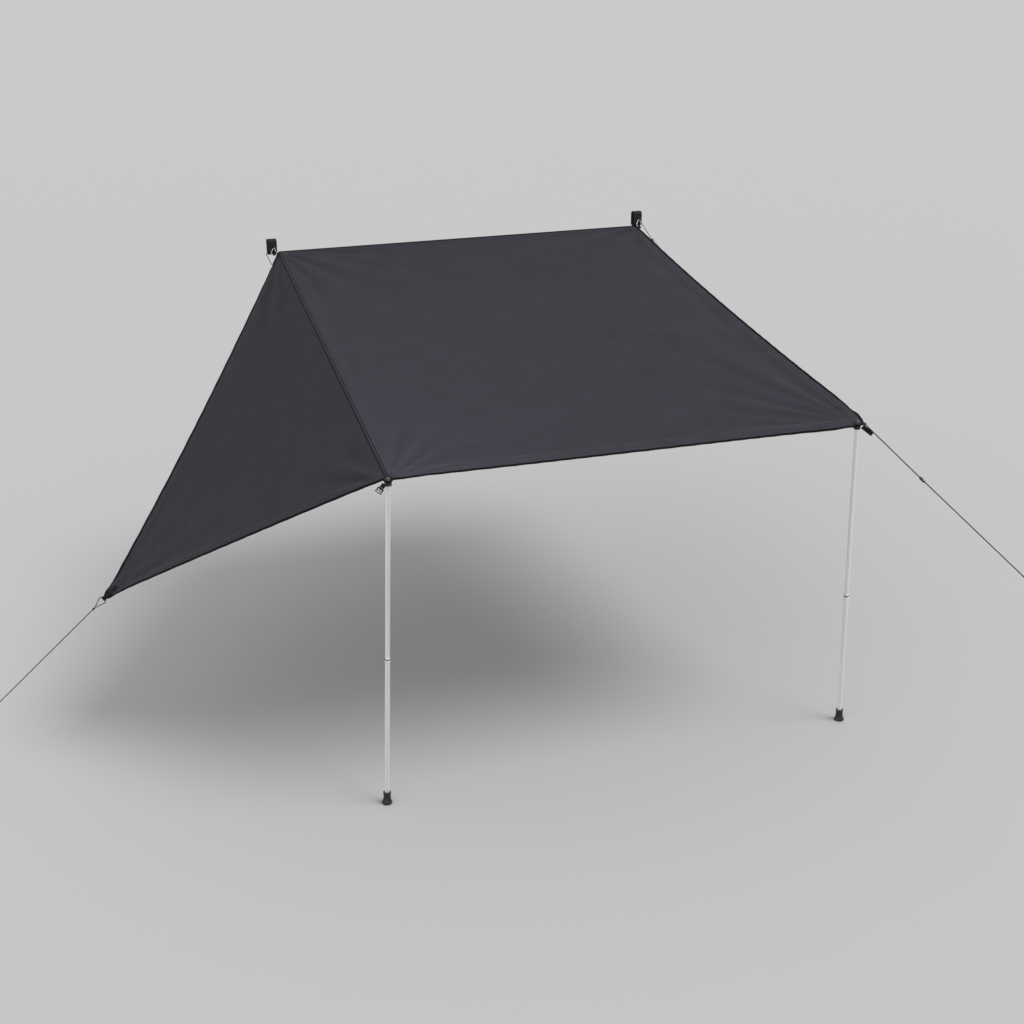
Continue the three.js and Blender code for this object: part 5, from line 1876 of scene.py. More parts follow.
@dataclass
class Wing:
    """The folded-down wing: its cloth, hems, edge binding and tip patch."""

    shape: WingShape = field(default_factory=WingShape)
    cloth_thickness: float = 0.0012
    hem_thickness: float = 0.0022
    binding_width: float = 0.0155
    binding_thickness: float = 0.0038
    lower_hem: float = 0.062
    side_hem: float = 0.05
    side_thinner: float = 0.0002
    tip_radius: float = 0.116
    tip_thickness: float = 0.003
    least_out: float = 0.0005
    bend: float = 0.05
    edge_steps: int = 320
    columns: int = 140
    rows: int = 280

    @property
    def fold(self) -> tuple[Vector, Vector]:
        """Where the cloth starts and ends to turn with the wing."""
        return self.shape.axes.at(0, 0), self.shape.axes.at(0, self.bend)

    def bent(self, piece: Piece) -> Piece:
        """Bakes a piece's placement into its mesh."""
        start, end = self.fold
        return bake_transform(piece)

    def beside(self, edge: Callable[[Many], Many], run: float, s: Many, inward: Many) -> Plan:
        """Returns plan lengths beside an edge that runs out to the tip.

        Args:
            edge: Gives the edge's length along the crease at a share of the way out.
            run: How far it runs along the crease, from the crease to the tip.
            s: Shares along the edge.
            inward: How far from the edge, square to it, and less than 0 towards the heel.

        Returns:
            The lengths on x and on y.
        """
        q, length = s * self.shape.end, self.shape.length
        way = np.array([run, length]) / math.hypot(run, length)
        return edge(q) + inward * way[1], np.clip(q * length - inward * way[0], self.least_out, None)

    def lower(self, s: Many, inward: Many) -> Plan:
        """Returns plan lengths beside the lower edge."""
        return self.beside(self.shape.lower, self.shape.tip_along, s, inward)

    def side(self, s: Many, inward: Many) -> Plan:
        """Returns plan lengths beside the far edge."""
        return self.beside(self.shape.side, self.shape.tip_along - self.shape.head, s, -inward)

    def sheet(self) -> Piece:
        """Builds the one curved sheet of the wing."""
        piece = cloth_sheet("wing_sheet", self.shape, self.columns, self.rows, self.cloth_thickness)
        return self.bent(wardrobe.dress(piece, WING_CLOTH, "wing", "wing_panel", bends=True))

    def hems(self) -> list[Piece]:
        """Builds the hems and the binding on the edges.

        Returns:
            The pieces.
        """
        thick, bound, thinner = self.hem_thickness, self.binding_thickness, self.side_thinner
        pieces = []
        for name, edge, width, thickness, over, finish, *node in (
            ("lower_hem", self.lower, self.lower_hem, thick, 0.0, WING_HEM),
            ("side_hem", self.side, self.side_hem, thick - thinner * 1.5, 0.0, WING_HEM),
            (
                "lower_binding", self.lower, self.binding_width, bound, BINDING_OVER, BINDING,
                "tape_wing_lower",
            ),
            (
                "side_binding", self.side, self.binding_width, bound - thinner, BINDING_OVER, BINDING,
                "tape_wing_side",
            ),
        ):
            piece = hem(f"wing_{name}", self.shape, edge, width, self.edge_steps, thickness, over)
            pieces.append(self.bent(wardrobe.dress(piece, finish, "wing", *node, bends=True)))
        return pieces

    def tip_patch(self) -> Piece:
        """Builds the reinforcing patch at the tip.

        Returns:
            The patch.
        """
        tip = (self.shape.tip_along, self.shape.length)

        def layer(s: Many, t: Many) -> Laid:
            """Lays the grid from the round edge to the cut tip.

            Args:
                s: Shares along the crease.
                t: Shares out to the tip.

            Returns:
                The points that the grid gets.
            """
            def outside(share: Many) -> Many:
                """Tells whether the round edge isn't reached yet."""
                x, y = self.shape.cloth(s, share)
                return np.hypot(x - tip[0], y - tip[1]) > self.tip_radius

            whole = np.ones_like(s)
            x, y = self.shape.cloth(s, between(last_held(outside, whole), whole, t))
            return round_patch(self.shape, x, y, tip, self.tip_radius)

        piece = thickened(laid_grid("tip_patch", 30, 16, layer), self.tip_thickness, HEM_ROUNDING)
        return wardrobe.dress(piece, WING_HEM, "wing", "wing_tip_patch")

    def seams(self) -> Piece:
        """Sews the hems and the tip patch.

        Returns:
            The stitches.
        """
        sewing = Sewing("wing_stitching", Stitch.CLOTH)
        top = self.hem_thickness / 2 + STITCH_LIFT
        for edge, width, start in ((self.lower, self.lower_hem, 0.06), (self.side, self.side_hem, 0.04)):
            sewing.run(edge_line(self.shape, edge, width - SEAM_INSET, top, start, 0.93), self.shape.axes.z)
        tip, turns = (self.shape.tip_along, self.shape.length), np.linspace(246, 317, 50)
        top = self.tip_thickness / 2 + STITCH_LIFT
        for inset in (SEAM_INSET, 0.022):
            sew_arc(sewing, self.shape, tip, self.tip_radius - inset, turns, top)
        return wardrobe.dress(sewing.build(), WING_THREAD, "wing")

    def build(self) -> None:
        """Builds the wing's pieces."""
        sheet = self.sheet()
        parts = self.hems() + [self.tip_patch(), self.seams()]


@dataclass
class Crease:
    """The sewn seam between roof and wing: a narrow strip over both cloths."""

    roof: RoofShape = field(default_factory=RoofShape)
    wing: WingShape = field(default_factory=WingShape)
    reach: float = 0.0098
    thickness: float = 0.0032
    rise: float = 0.0012
    rounding: float = 0.0006
    front_gap: float = 0.024
    rear_gap: float = 0.004
    seam_front: float = 0.07
    seam_rear: float = 0.08
    bend: float = 0.05
    tab_place: float = 0.031
    tab_width: float = 0.013

    def build(self) -> None:
        """Builds the strip, its row of stitches and the tab over its front end."""
        roof, wing = self.roof.axes, self.wing.axes
        inward = -(roof.z.cross(wing.x)).normalized()

        def layer(s: Many, t: Many) -> Laid:
            """Lays the strip over the crease, from the roof's face to the wing's.

            Args:
                s: Shares along the crease.
                t: Shares across the strip.

            Returns:
                The points that the grid gets.
            """
            along = between(self.front_gap, self.wing.head - self.rear_gap, s)
            off = (t - 0.5) * 2 * self.reach
            points = np.array(self.roof.spigot) + sum(np.outer(length, np.array(way)) for length, way in (
                (along, wing.x), (np.where(off > 0, off, 0), inward), (np.where(off < 0, -off, 0), wing.y),
                (self.rise * (1 - np.abs(off) / self.reach), (roof.z + wing.z).normalized()),
            ))
            return Laid(
                points, np.stack([along, off], axis=1), {"rim": self.reach - np.abs(off), "fold_wear_and_painted_light": 0 * off},
            )

        strip = thickened(laid_grid("crease_strip", 220, 8, layer), self.thickness, self.rounding)
        wardrobe.dress(strip, CREASE_CLOTH, "canopy", "crease_seam", bends=True)
        self.wing.axes.at(0, 0)[:]
        self.wing.axes.at(0, self.bend)[:]
        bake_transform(strip)
        sewing = Sewing("crease_stitching", Stitch.CLOTH)
        beside = self.roof.spigot + inward * self.rise + roof.z * (self.thickness / 2 + 0.0008)
        stops = np.linspace(self.seam_front, self.wing.head - self.seam_rear, 60)
        sewing.run([beside + wing.x * along for along in stops], roof.z)
        wardrobe.dress(sewing.build(), ROOF_THREAD, "canopy")
        self.end_tab(inward)

    def end_tab(self, inward: Vector) -> None:
        """Builds the small webbing tab that is folded over the front end of the crease.

        Args:
            inward: The direction on the roof's face away from the crease.
        """
        roof, wing = self.roof.axes, self.wing.axes
        start = self.roof.spigot + wing.x * self.tab_place
        over = self.thickness / 2 + 0.0012
        ridge = (roof.z + wing.z).normalized()
        path = [start + wing.y * (0.017 - step * 0.003) + wing.z * over for step in range(5)]
        path += [start + ridge * (over + 0.0012)]
        path += [start + inward * (0.005 + step * 0.003) + roof.z * over for step in range(5)]
        tab = Band("crease_end_tab", path, [wing.x] * len(path), self.tab_width, 0.0016, rows=5)
        wardrobe.dress(tab.build(), STRAP, "canopy")


@dataclass
class RackLoops:
    """The two webbing loops on the roof rack, with their keepers, rings, tabs and the wire delta."""

    roof: RoofShape = field(default_factory=RoofShape)
    width: float = 0.058
    depth: float = 0.05
    height: float = 0.095
    step: float = 0.006
    thickness: float = 0.0025
    top_bend: float = 0.018
    foot_bend: float = 0.014
    ring_wire: float = 0.006
    ring_base: float = 0.044
    ring_top: float = 0.017
    ring_height: float = 0.041
    ring_bend: float = 0.0055
    ring_drop: float = 0.074
    ring_shift: float = 0.007
    box_inset: float = 0.006
    box_top: float = -0.034
    box_foot: float = -0.07
    tab_width: float = 0.019
    tab_thickness: float = 0.0015
    delta_wire: float = 0.0046
    delta_half: float = 0.0385
    delta_apex: Vector = field(default_factory=lambda: Vector((-0.0193, -0.0907, -0.1431)))
    loops: tuple[tuple[str, float, float], ...] = (("left", 0.0, 0.0025), ("right", 2.471, 0.0175))

    def loop(self, name: str, centre: float, top: float) -> None:
        """Builds one loop with its sewn overlap.

        Args:
            name: left or right.
            centre: The loop's middle along the vehicle.
            top: The height of its outer top.
        """
        mid = self.thickness / 2
        half, high, low = self.depth / 2 - mid, top - mid, top - self.height + mid
        corners = [
            Vector((centre, y, z))
            for y, z in ((-half, high), (half, high), (half, low), (-half, low))
        ]
        bends = [self.top_bend - mid] * 2 + [self.foot_bend - mid] * 2
        path = rounded_loop(corners, bends, 10)
        filled = []
        for first, second in zip(path, path[1:] + path[:1]):
            steps = max(1, round((second - first).length / self.step))
            filled += [first.lerp(second, step / steps) for step in range(steps)]
        band = Band(f"{name}_loop_band", filled, [ALONG] * len(filled), self.width, self.thickness, True, 8)
        wardrobe.dress(band.build(), STRAP, "canopy", f"roof_loop_{name}")
        lap = [Vector((centre, -self.depth / 2 - 0.0006, top - 0.03 - step * 0.004)) for step in range(12)]
        patch = Band(f"{name}_loop_overlap", lap, [ALONG] * len(lap), self.width - 0.001, 0.0014, False, 8)
        wardrobe.dress(patch.build(), STRAP, "canopy")
        sewing = Sewing(f"{name}_loop_stitching", Stitch.STRAP)
        x, front = self.width / 2 - self.box_inset, -self.depth / 2 - 0.0014
        face = Axes(Vector((centre, front, top)), ALONG, Vector((0, 0, 1)), Vector((0, -1, 0)))
        crossed_box(sewing, face, x, self.box_top, self.box_foot, 0.0)
        wardrobe.dress(sewing.build(), STRAP_THREAD, "canopy")

    def ring_centre(self, centre: float, top: float) -> Vector:
        """Returns the middle of a corner ring."""
        out = self.depth / 2 + CLEARANCE + self.ring_wire / 2
        return Vector((centre + self.ring_shift, -out, top - self.ring_drop))

    def ring(self, name: str, centre: float, top: float) -> None:
        """Builds one corner ring, its keeper on the loop and the tab of the cloth.

        Args:
            name: left or right.
            centre: The loop's middle along the vehicle.
            top: The height of its outer top.
        """
        middle = self.ring_centre(centre, top)
        base, crown, height = (
            (size - self.ring_wire) / 2
            for size in (self.ring_base, self.ring_top, self.ring_height)
        )
        places = ((-base, -height), (base, -height), (crown, height), (-crown, height))
        bends = [self.ring_bend] * 2 + [self.ring_bend / 2] * 2
        loop = rounded_loop([middle + Vector((x, 0, z)) for x, z in places], bends, 10)
        wardrobe.dress(
            wire(f"{name}_ring", loop, self.ring_wire), BRIGHT_STEEL, "canopy", f"corner_ring_{name}",
        )
        around = self.ring_wire / 2 + 0.0009
        turns = [TURN * step / 24 for step in range(24)]
        eye = [
            middle + Vector((0, around * math.sin(turn), height + around * math.cos(turn)))
            for turn in turns
        ]
        keeper = Band(f"{name}_ring_keeper", eye, [ALONG] * 24, 0.0065, 0.0014, True, 2)
        wardrobe.dress(keeper.build(), STRAP, "canopy")
        axes = self.roof.axes
        bar = axes.local(middle - Vector((0, 0, height)))
        seat = self.roof.slope - 0.07 + self.tab_width
        wrap = self.ring_wire / 2 + CLEARANCE + self.tab_thickness / 2
        under, over, step = -0.0022, 0.0024, 0.004
        near, far = seat + 3 * step, bar.y - step
        path = [(seat + step * count, under) for count in range(3)]
        path += [
            (between(near, far, share), between(under, bar.z - wrap, share))
            for share in (0.3, 0.65, 0.95)
        ]
        path += [
            (bar.y + wrap * math.sin(turn), bar.z - wrap * math.cos(turn))
            for turn in np.linspace(0, math.pi, 13)
        ]
        path += [
            (between(far, near, share), between(bar.z + wrap, over, share))
            for share in (0.05, 0.4, 0.75)
        ]
        path += [(seat + step * (2 - count), over) for count in range(3)]
        places = [axes.at(bar.x, y, z) for y, z in path]
        tab = Band(
            f"{name}_ring_tab", places, [ALONG] * len(places), self.tab_width, self.tab_thickness,
        )
        wardrobe.dress(tab.build(), STRAP, "canopy")

    def delta(self, centre: float, top: float) -> None:
        """Builds the wire delta in the foot of the left loop.

        Args:
            centre: The loop's middle along the vehicle.
            top: The height of its outer top.
        """
        bar = top - self.height + self.thickness + CLEARANCE + self.delta_wire / 2
        corners = [Vector((centre + side * self.delta_half, 0, bar)) for side in (-1, 1)] + [self.delta_apex]
        loop = rounded_loop(corners, [0.006, 0.006, 0.003], 10)
        wardrobe.dress(wire("rack_delta", loop, self.delta_wire), DARK_WIRE, "canopy", "delta_ring_left")

    def build(self) -> None:
        """Builds both loops and what hangs in them."""
        for name, centre, top in self.loops:
            self.loop(name, centre, top)
            self.ring(name, centre, top)
        _, centre, top = self.loops[0]
        self.delta(centre, top)


@dataclass
class EdgeHook:
    """The link cord of the right loop, its sleeve and the bright tapered hook on the right edge."""

    roof: RoofShape = field(default_factory=RoofShape)
    distance: float = 0.262
    sleeve_length: float = 0.016
    sleeve_diameter: float = 0.015
    length: float = 0.112
    diameter: float = 0.012
    tip_diameter: float = 0.004
    cord_diameter: float = 0.0046
    leave: Vector = field(default_factory=lambda: Vector((2.5069, -0.0046, -0.0635)))

    def build(self) -> None:
        """Builds the cord, the sleeve and the hook."""
        def beside(distance: float, diameter: float) -> Vector:
            """Returns a place beside the right edge.

            Args:
                distance: How far from the rear edge.
                diameter: The diameter of what lies there.

            Returns:
                The place of its middle.
            """
            y = np.array([self.roof.slope - distance])
            x = self.roof.right_edge(y)
            height = float(self.roof.relief(x, y)[0])
            return self.roof.axes.at(float(x[0]) + diameter / 2 + 0.0006, float(y[0]), height)

        start = beside(self.distance, self.sleeve_diameter)
        end = beside(self.distance + self.sleeve_length + self.length, self.diameter)
        axes = upright(start, end - start)
        radius, run = self.sleeve_diameter / 2, self.sleeve_length
        shares = (
            (0, 0), (0.55, 0), (0.85, 0.12), (1, 0.35), (0.94, 0.5), (1, 0.65), (1, 0.9), (0.8, 1), (0, 1),
        )
        grip = [(radius * wide, run * up) for wide, up in shares]
        wardrobe.dress(turned("edge_hook_sleeve", grip, axes), BLACK_PLASTIC, "canopy", "hook_sleeve_right")
        thick, thin, long = self.diameter / 2, self.tip_diameter / 2, self.length
        first = run + CLEARANCE
        drop = [(0, 0), (thin, 0)]
        drop += [
            (between(thin, thick, float(ease(np.array(share)))), share * long / 4)
            for share in (0.25, 0.5, 0.75)
        ]
        for share in (0, 0.12, 0.25, 0.4, 0.55, 0.7, 0.85, 0.95):
            width = thick * math.cos(share * math.pi / 2) ** 1.4 + thin * share * 0.9
            drop.append((width, between(long / 4, long, share)))
        drop += [(thin * 0.6, long - 0.0008), (0, long)]
        wardrobe.dress(
            turned("edge_hook", [(r, z + first) for r, z in drop], axes), BRIGHT_STEEL, "canopy",
            "edge_hook_right",
        )
        leave = self.leave
        path = [leave, start - (start - leave).normalized() * 0.0006]
        cord = wardrobe.dress(
            rope("link_cord", path, self.cord_diameter), CORD_BLACK, "canopy", "link_cord_right",
        )
        (path[1] - path[0]).length


@dataclass
class Corners:
    """What sits on the front corners: eyelets, the black heel disc, the guyline disc and the tails."""

    roof: RoofShape = field(default_factory=RoofShape)
    strap_width: float = 0.024
    strap_thickness: float = 0.0024
    seam_height: float = 0.0013
    buckle_bar: float = 0.0042
    buckle_thickness: float = 0.0045
    right_length: float = 0.066

    def eyelet(self, name: str, x: float) -> None:
        """Builds one rolled eyelet.

        Args:
            name: left or right.
            x: The corner's place along the vehicle.
        """
        bore, barrel, flange, seat, outer = 0.007, 0.0078, 0.0125, 0.0018, 0.0027
        rolled = [
            (bore, -outer * 0.8), (bore + 0.0005, -outer), (flange - 0.001, -outer),
            (flange, -outer + 0.0005), (flange, -seat), (barrel, -seat), (barrel, seat), (flange, seat),
            (flange, outer - 0.0004), (flange - 0.0012, outer + 0.0003), (bore + 0.0014, outer + 0.0003),
            (bore, outer - 0.0004),
        ]
        wardrobe.dress(
            turned(f"{name}_eyelet", rolled, self.roof.axes.moved(x)), BRIGHT_STEEL, "canopy",
            f"eyelet_{name}",
        )

    def heel_disc(self) -> None:
        """Builds the cloth disc that holds the left eyelet, and the binding round it."""
        axes, radius = self.roof.axes, 0.0235
        profile = [(0.0081, -0.0016), (radius, -0.0016), (radius, 0.0016), (0.0081, 0.0016)]
        wardrobe.dress(turned("heel_disc", profile, axes, 64), ROOF_CLOTH, "canopy")
        edge = [
            (radius - 0.006, -0.0022), (radius, -0.0022), (radius + 0.0012, -0.001), (radius + 0.0012, 0.001),
            (radius, 0.0022), (radius - 0.006, 0.0022),
        ]
        wardrobe.dress(turned("heel_binding", edge, axes, 64), BINDING, "canopy")

    def dome(self, name: str, x: float, foot: float) -> None:
        """Builds the hollow steel dome that covers a spigot.

        Args:
            name: left or right.
            x: The corner's place along the vehicle.
            foot: How far over the cloth's plane it starts.
        """
        outer, tall, wall, band = 0.013, 0.012, 0.0014, 0.002

        def shell(radius: float, top: float) -> list[tuple[float, float]]:
            """Returns the round part of a wall, from its foot up."""
            turns = np.linspace(0, math.pi / 2, 13)[:-1]
            return [(radius * math.cos(turn), band + (top - band) * math.sin(turn)) for turn in turns]

        inside = list(reversed(shell(outer - wall, tall - wall)))
        rim = [
            (outer - wall, 0.0004), (outer - wall + 0.0004, 0), (outer + 0.0006, 0), (outer + 0.0009, 0.0004),
            (outer + 0.0006, 0.001), (outer, 0.0014),
        ]
        profile = [(0, tall - wall), *inside, *rim, *shell(outer, tall), (0, tall)]
        wardrobe.dress(
            turned(f"{name}_spigot_dome", profile, self.roof.axes.moved(x, 0, foot), 56), DOME_STEEL,
            "canopy", f"spigot_dome_{name}",
        )

    def guy_disc(self) -> None:
        """Builds the disc that takes the right guyline."""
        axes = self.roof.axes.moved(self.roof.front_width, 0, 0.003)
        rim, bore, tall = 0.023, 0.0085, 0.005
        profile = [
            (bore, 0.0006), (bore + 0.0006, 0), (rim - 0.0012, 0), (rim, 0.0012), (rim, tall - 0.0014),
            (rim - 0.0014, tall), (rim * 0.8, tall), (rim * 0.76, tall - 0.0007), (rim * 0.6, tall - 0.0007),
            (rim * 0.55, tall), (bore + 0.0008, tall), (bore, tall - 0.0008),
        ]
        wardrobe.dress(turned("guyline_disc", profile, axes, 64), BLACK_PLASTIC, "canopy", "guy_disc_right")

    def left_tail(self) -> None:
        """Builds the left tail and its square buckle."""
        axes = Axes(
            Vector((-0.013, -2.9285, -0.5295)), Vector((-0.75996, 0, 0.64997)),
            Vector((-0.64997, 0, -0.75996)), Vector((0, -1, 0)),
        )
        half_bar = math.hypot(self.buckle_bar, self.buckle_thickness) / 2
        eye, bar = 0.026 + half_bar + 0.0006, half_bar + CLEARANCE + 0.0008
        path = [axes.at(0, 0.002 * step, 0) for step in range(1, 13)]
        strap = Band(
            "left_tail_strap", path, [axes.x] * len(path), self.strap_width, self.strap_thickness, rows=8,
        )
        wardrobe.dress(strap.build(), TAIL_STRAP, "left_tail", "tail_strap_left")
        turns = np.linspace(-0.5 * math.pi, 1.5 * math.pi, 25)[:-1]
        round_bar = [axes.at(0, eye + bar * math.sin(turn), bar * math.cos(turn)) for turn in turns]
        fold = Band("left_tail_fold", round_bar, [axes.x] * 24, self.strap_width, 0.0014, True, 8)
        wardrobe.dress(fold.build(), TAIL_STRAP, "left_tail")
        sewing = Sewing("left_tail_stitching", Stitch.TAIL)
        for face in (axes, Axes(axes.origin, axes.x, axes.y, -axes.z)):
            box = (
                (-0.008, 0.006), (0.008, 0.006), (0.008, 0.02), (-0.008, 0.02), (-0.008, 0.006),
                (0.008, 0.02),
            )
            sewing.run([face.at(x, y, self.seam_height) for x, y in box], face.z)
        wardrobe.dress(sewing.build(), STRAP_THREAD, "left_tail")
        self.buckle(Axes(Vector((-0.03092464, -2.9285, -0.55045804)), axes.x, axes.y, axes.z))

    def buckle(self, axes: Axes) -> None:
        """Builds the ladder buckle with its two slots.

        Args:
            axes: Axes in its plane, z through it.
        """
        wide, long, bar = 0.0175, 0.027, self.buckle_bar
        xs = [-wide, -wide + bar, wide - bar, wide]
        ys = [0, bar, long / 2 - bar / 2, long / 2 + bar / 2, long - bar, long]
        made = bmesh.new()
        bmesh.ops.create_grid(made, x_segments=3, y_segments=5, size=0.5)
        for vert in made.verts:
            vert.co = (xs[round((vert.co.x + 0.5) * 3)], ys[round((vert.co.y + 0.5) * 5)], 0)
        open_at = [Vector((0, (low + high) / 2, 0)) for low, high in (ys[1:3], ys[3:5])]
        slots = [
            face
            for face in made.faces
            if min((face.calc_center_median() - at).length for at in open_at) < 0.001
        ]
        bmesh.ops.delete(made, geom=slots, context="FACES")
        bmesh.ops.transform(made, matrix=axes.matrix(), verts=made.verts[:])
        piece = from_bmesh("left_tail_buckle", made)
        wall = piece.modifiers.new("wall", "SOLIDIFY")
        wall.thickness, wall.offset = self.buckle_thickness, 0.0
        rounding = piece.modifiers.new("edge", "BEVEL")
        rounding.width, rounding.segments, rounding.limit_method = 0.0009, 3, "ANGLE"
        wardrobe.dress(settled(piece), BLACK_PLASTIC, "left_buckle", "tail_buckle_left")

    def right_tail(self) -> None:
        """Builds the free tail at the right corner."""
        axes = Axes(
            Vector((2.5265, -2.9226, -0.5346)), Vector((0.67706, 0.09733, 0.72946)),
            Vector((0.67528, -0.4762, -0.56323)), Vector((0.29254, 0.87393, -0.38814)),
        )
        path = [axes.at(0, self.right_length * step / 22, 0) for step in range(23)]
        strap = Band("right_tail_strap", path, [axes.x] * 23, self.strap_width, self.strap_thickness, rows=8)
        wardrobe.dress(strap.build(), TAIL_STRAP, "right_tail", "tail_strap_right")
        sewing = Sewing("right_tail_stitching", Stitch.TAIL)
        for face in (axes, Axes(axes.origin, axes.x, axes.y, -axes.z)):
            box = ((-0.008, 0.004), (0.008, 0.004), (0.008, 0.016), (-0.008, 0.016), (-0.008, 0.004))
            for places in (box, ((-0.009, 0.06), (0.009, 0.06))):
                sewing.run([face.at(x, y, self.seam_height) for x, y in places], face.z)
        wardrobe.dress(sewing.build(), STRAP_THREAD, "right_tail")

    def build(self) -> None:
        """Builds both front corners."""
        corners = (("left", 0.0, 0.003), ("right", self.roof.front_width, 0.0083))
        for name, x, _ in corners:
            self.eyelet(name, x)
        self.heel_disc()
        self.guy_disc()
        for name, x, foot in corners:
            self.dome(name, x, foot)
        self.left_tail()
        self.right_tail()


class Side(Enum):
    """The two poles."""

    LEFT = "left"
    RIGHT = "right"


@dataclass
class Pole:
    """A two-piece pole: tubes, bead, ferrule, snap button, cap, spigot and rubber foot."""

    side: Side
    spigot_height: float = 1.78
    lean: float = 0.064
    upper: float = 0.024
    lower: float = 0.026
    bead: float = 0.029
    ferrule: float = 0.0296
    cap: float = 0.036
    foot: float = 0.054
    upper_wall: float = 0.001
    lower_wall: float = 0.0008
    pivot_drop: float = 0.0031
    shoulder: float = 22.0
    overlap: float = 0.12
    ferrule_length: float = 0.013
    skirt: float = 0.017

    @property
    def axes(self) -> Axes:
        """The pole's axes at the ground, z along the pole.

        Returns:
            The axes.
        """
        left = self.side is Side.LEFT
        base = Vector((-0.055 if left else 2.57, -2.904, -2.3015))
        up = Vector((self.lean if left else -self.lean, 0, self.spigot_height)).normalized()
        return Axes(base, Vector((0, 1, 0)).cross(up).normalized(), Vector((0, 1, 0)), up)

    @property
    def length(self) -> float:
        """The pole's length from the ground to the pivot."""
        return math.hypot(self.lean, self.spigot_height)

    @property
    def joint(self) -> float:
        """The height of the joint between the tubes."""
        return 0.833 if self.side is Side.LEFT else 0.784

    @property
    def steep(self) -> float:
        """The rise of the cap's shoulder over its run."""
        return math.tan(math.radians(self.shoulder))

    def fit(
        self, name: str, profile: Sequence[tuple[float, float]], finish: Finish, node: str = "",
        segments: int = 56,
    ) -> None:
        """Turns one piece of the pole and dresses it.

        Args:
            name: The piece's name, without its side.
            profile: Radius and height of each point, up the pole.
            finish: Its finish.
            node: The node that it replaces, without its side.
            segments: How many steps it takes round.
        """
        label = self.side.value
        piece = turned(f"{label}_{name}", profile, self.axes, segments)
        wardrobe.dress(piece, finish, f"{label}_pole", *([f"{node}_{label}"] if node else []))

    def tubes(self) -> None:
        """Builds both tubes and the ferrule between them."""
        joint, top = self.joint, self.length - self.pivot_drop - self.cap / 2 * self.steep - 0.0015
        outer, inner, bead = self.upper / 2, self.upper / 2 - self.upper_wall, self.bead / 2
        foot = joint + 0.003
        swell = [
            (bead - 0.0012, foot), (bead - 0.0003, foot + 0.0005), (bead, foot + 0.0015),
            (bead, foot + 0.0035), (bead - 0.0003, foot + 0.0045), (bead - 0.0012, foot + 0.005),
        ]
        upper = [(inner, joint - self.overlap), (outer, joint - self.overlap), (outer, foot), *swell]
        upper += [(outer, foot + 0.0052), (outer, top), (inner, top)]
        self.fit("upper_tube", upper, ALUMINIUM, "upper_tube")
        outer, inner = self.lower / 2, self.lower / 2 - self.lower_wall
        lower = [
            (inner, 0.0123), (outer, 0.0123), (outer, joint - 0.0002), (outer - 0.0002, joint),
            (inner, joint),
        ]
        self.fit("lower_tube", lower, ALUMINIUM, "lower_tube")
        seat, outer, lip = self.lower / 2 + CLEARANCE, self.ferrule / 2, self.upper / 2 + 0.0004
        low, high = joint + 0.0019 - self.ferrule_length, joint - 0.0026
        sleeve = [(seat, low + 0.0004), (seat + 0.0004, low), (outer - 0.0005, low), (outer, low + 0.0005)]
        sleeve += grooves(outer, 0.0008, low, self.ferrule_length / 7, 0.25)
        sleeve += [(outer, high - 0.0004), (outer - 0.0004, high), (seat, high)]
        self.fit("joint_ferrule", sleeve, ALUMINIUM, "joint_ferrule")
        rim = outer + 0.0002
        seal = [
            (lip, joint + 0.0004), (seat, joint + 0.0001), (seat, high), (rim - 0.0006, high),
            (rim, high + 0.0007), (rim, joint + 0.0022), (rim - 0.0008, joint + 0.0029),
            (lip, joint + 0.0029),
        ]
        self.fit("joint_seal", seal, BLACK_PLASTIC)

    def ends(self) -> None:
        """Builds the cap, the spigot and the foot."""
        pin, outer, seat = 0.0050, self.cap / 2, self.upper / 2 + CLEARANCE
        peak, rim = (self.length - self.pivot_drop - radius * self.steep for radius in (pin, outer))
        ceiling = rim - 0.0012
        foot = ceiling - self.skirt
        cap = [(seat, foot), (outer - 0.0008, foot), (outer, foot + 0.0008)]
        cap += grooves(outer, 0.0012, foot, self.skirt / 5, 0.3)
        cap += [
            (outer, rim - 0.0008), (outer - 0.0008, rim + 0.0002), (pin, peak), (pin, ceiling),
            (seat, ceiling),
        ]
        self.fit("top_cap", cap, BLACK_PLASTIC, "top_cap")
        shank, ball, head = 0.0047, 0.0067, 0.008
        top = ceiling - CLEARANCE
        heights = [0.15 * step for step in range(-5, 6)]
        belt = [
            (max(shank, ball * math.cos(math.asin(share))), self.length + ball * share)
            for share in heights
        ]
        peak = self.length + 0.01
        tip = [
            (shank * math.cos(turn), peak - shank + shank * math.sin(turn))
            for turn in (0, 0.3, 0.6, 0.9, 1.2, 1.4)
        ]
        stem = [(0, top - 0.006), (head, top - 0.006), (head, top), (shank, top)]
        self.fit("spigot", stem + belt + tip + [(0, peak)], BRIGHT_STEEL, "spigot_pin", 40)
        sole, waist, neck, tube = self.foot / 2, 0.0185, 0.02, self.lower / 2 + CLEARANCE
        boot = [
            (0, 0.0008), (sole * 0.3, 0.0008), (sole * 0.35, 0), (sole - 0.003, 0), (sole - 0.0008, 0.0012),
            (sole, 0.003), (sole, 0.006),
        ]
        boot += [
            (between(sole, waist, share), between(0.006, 0.023, share ** 0.8))
            for share in (0.2, 0.4, 0.6, 0.8, 1.0)
        ]
        boot += [(waist, 0.026), (waist + 0.0014, 0.0272), (waist + 0.002, 0.029), (waist + 0.0014, 0.0308)]
        boot += [
            (waist, 0.032), (waist + 0.0004, 0.045), (neck - 0.0007, 0.0575), (neck, 0.061), (neck, 0.0655),
        ]
        boot += [(neck - 0.0015, 0.067), (tube, 0.067), (tube, 0.012), (0, 0.012)]
        self.fit("foot_boot", boot, RUBBER, "foot", 72)

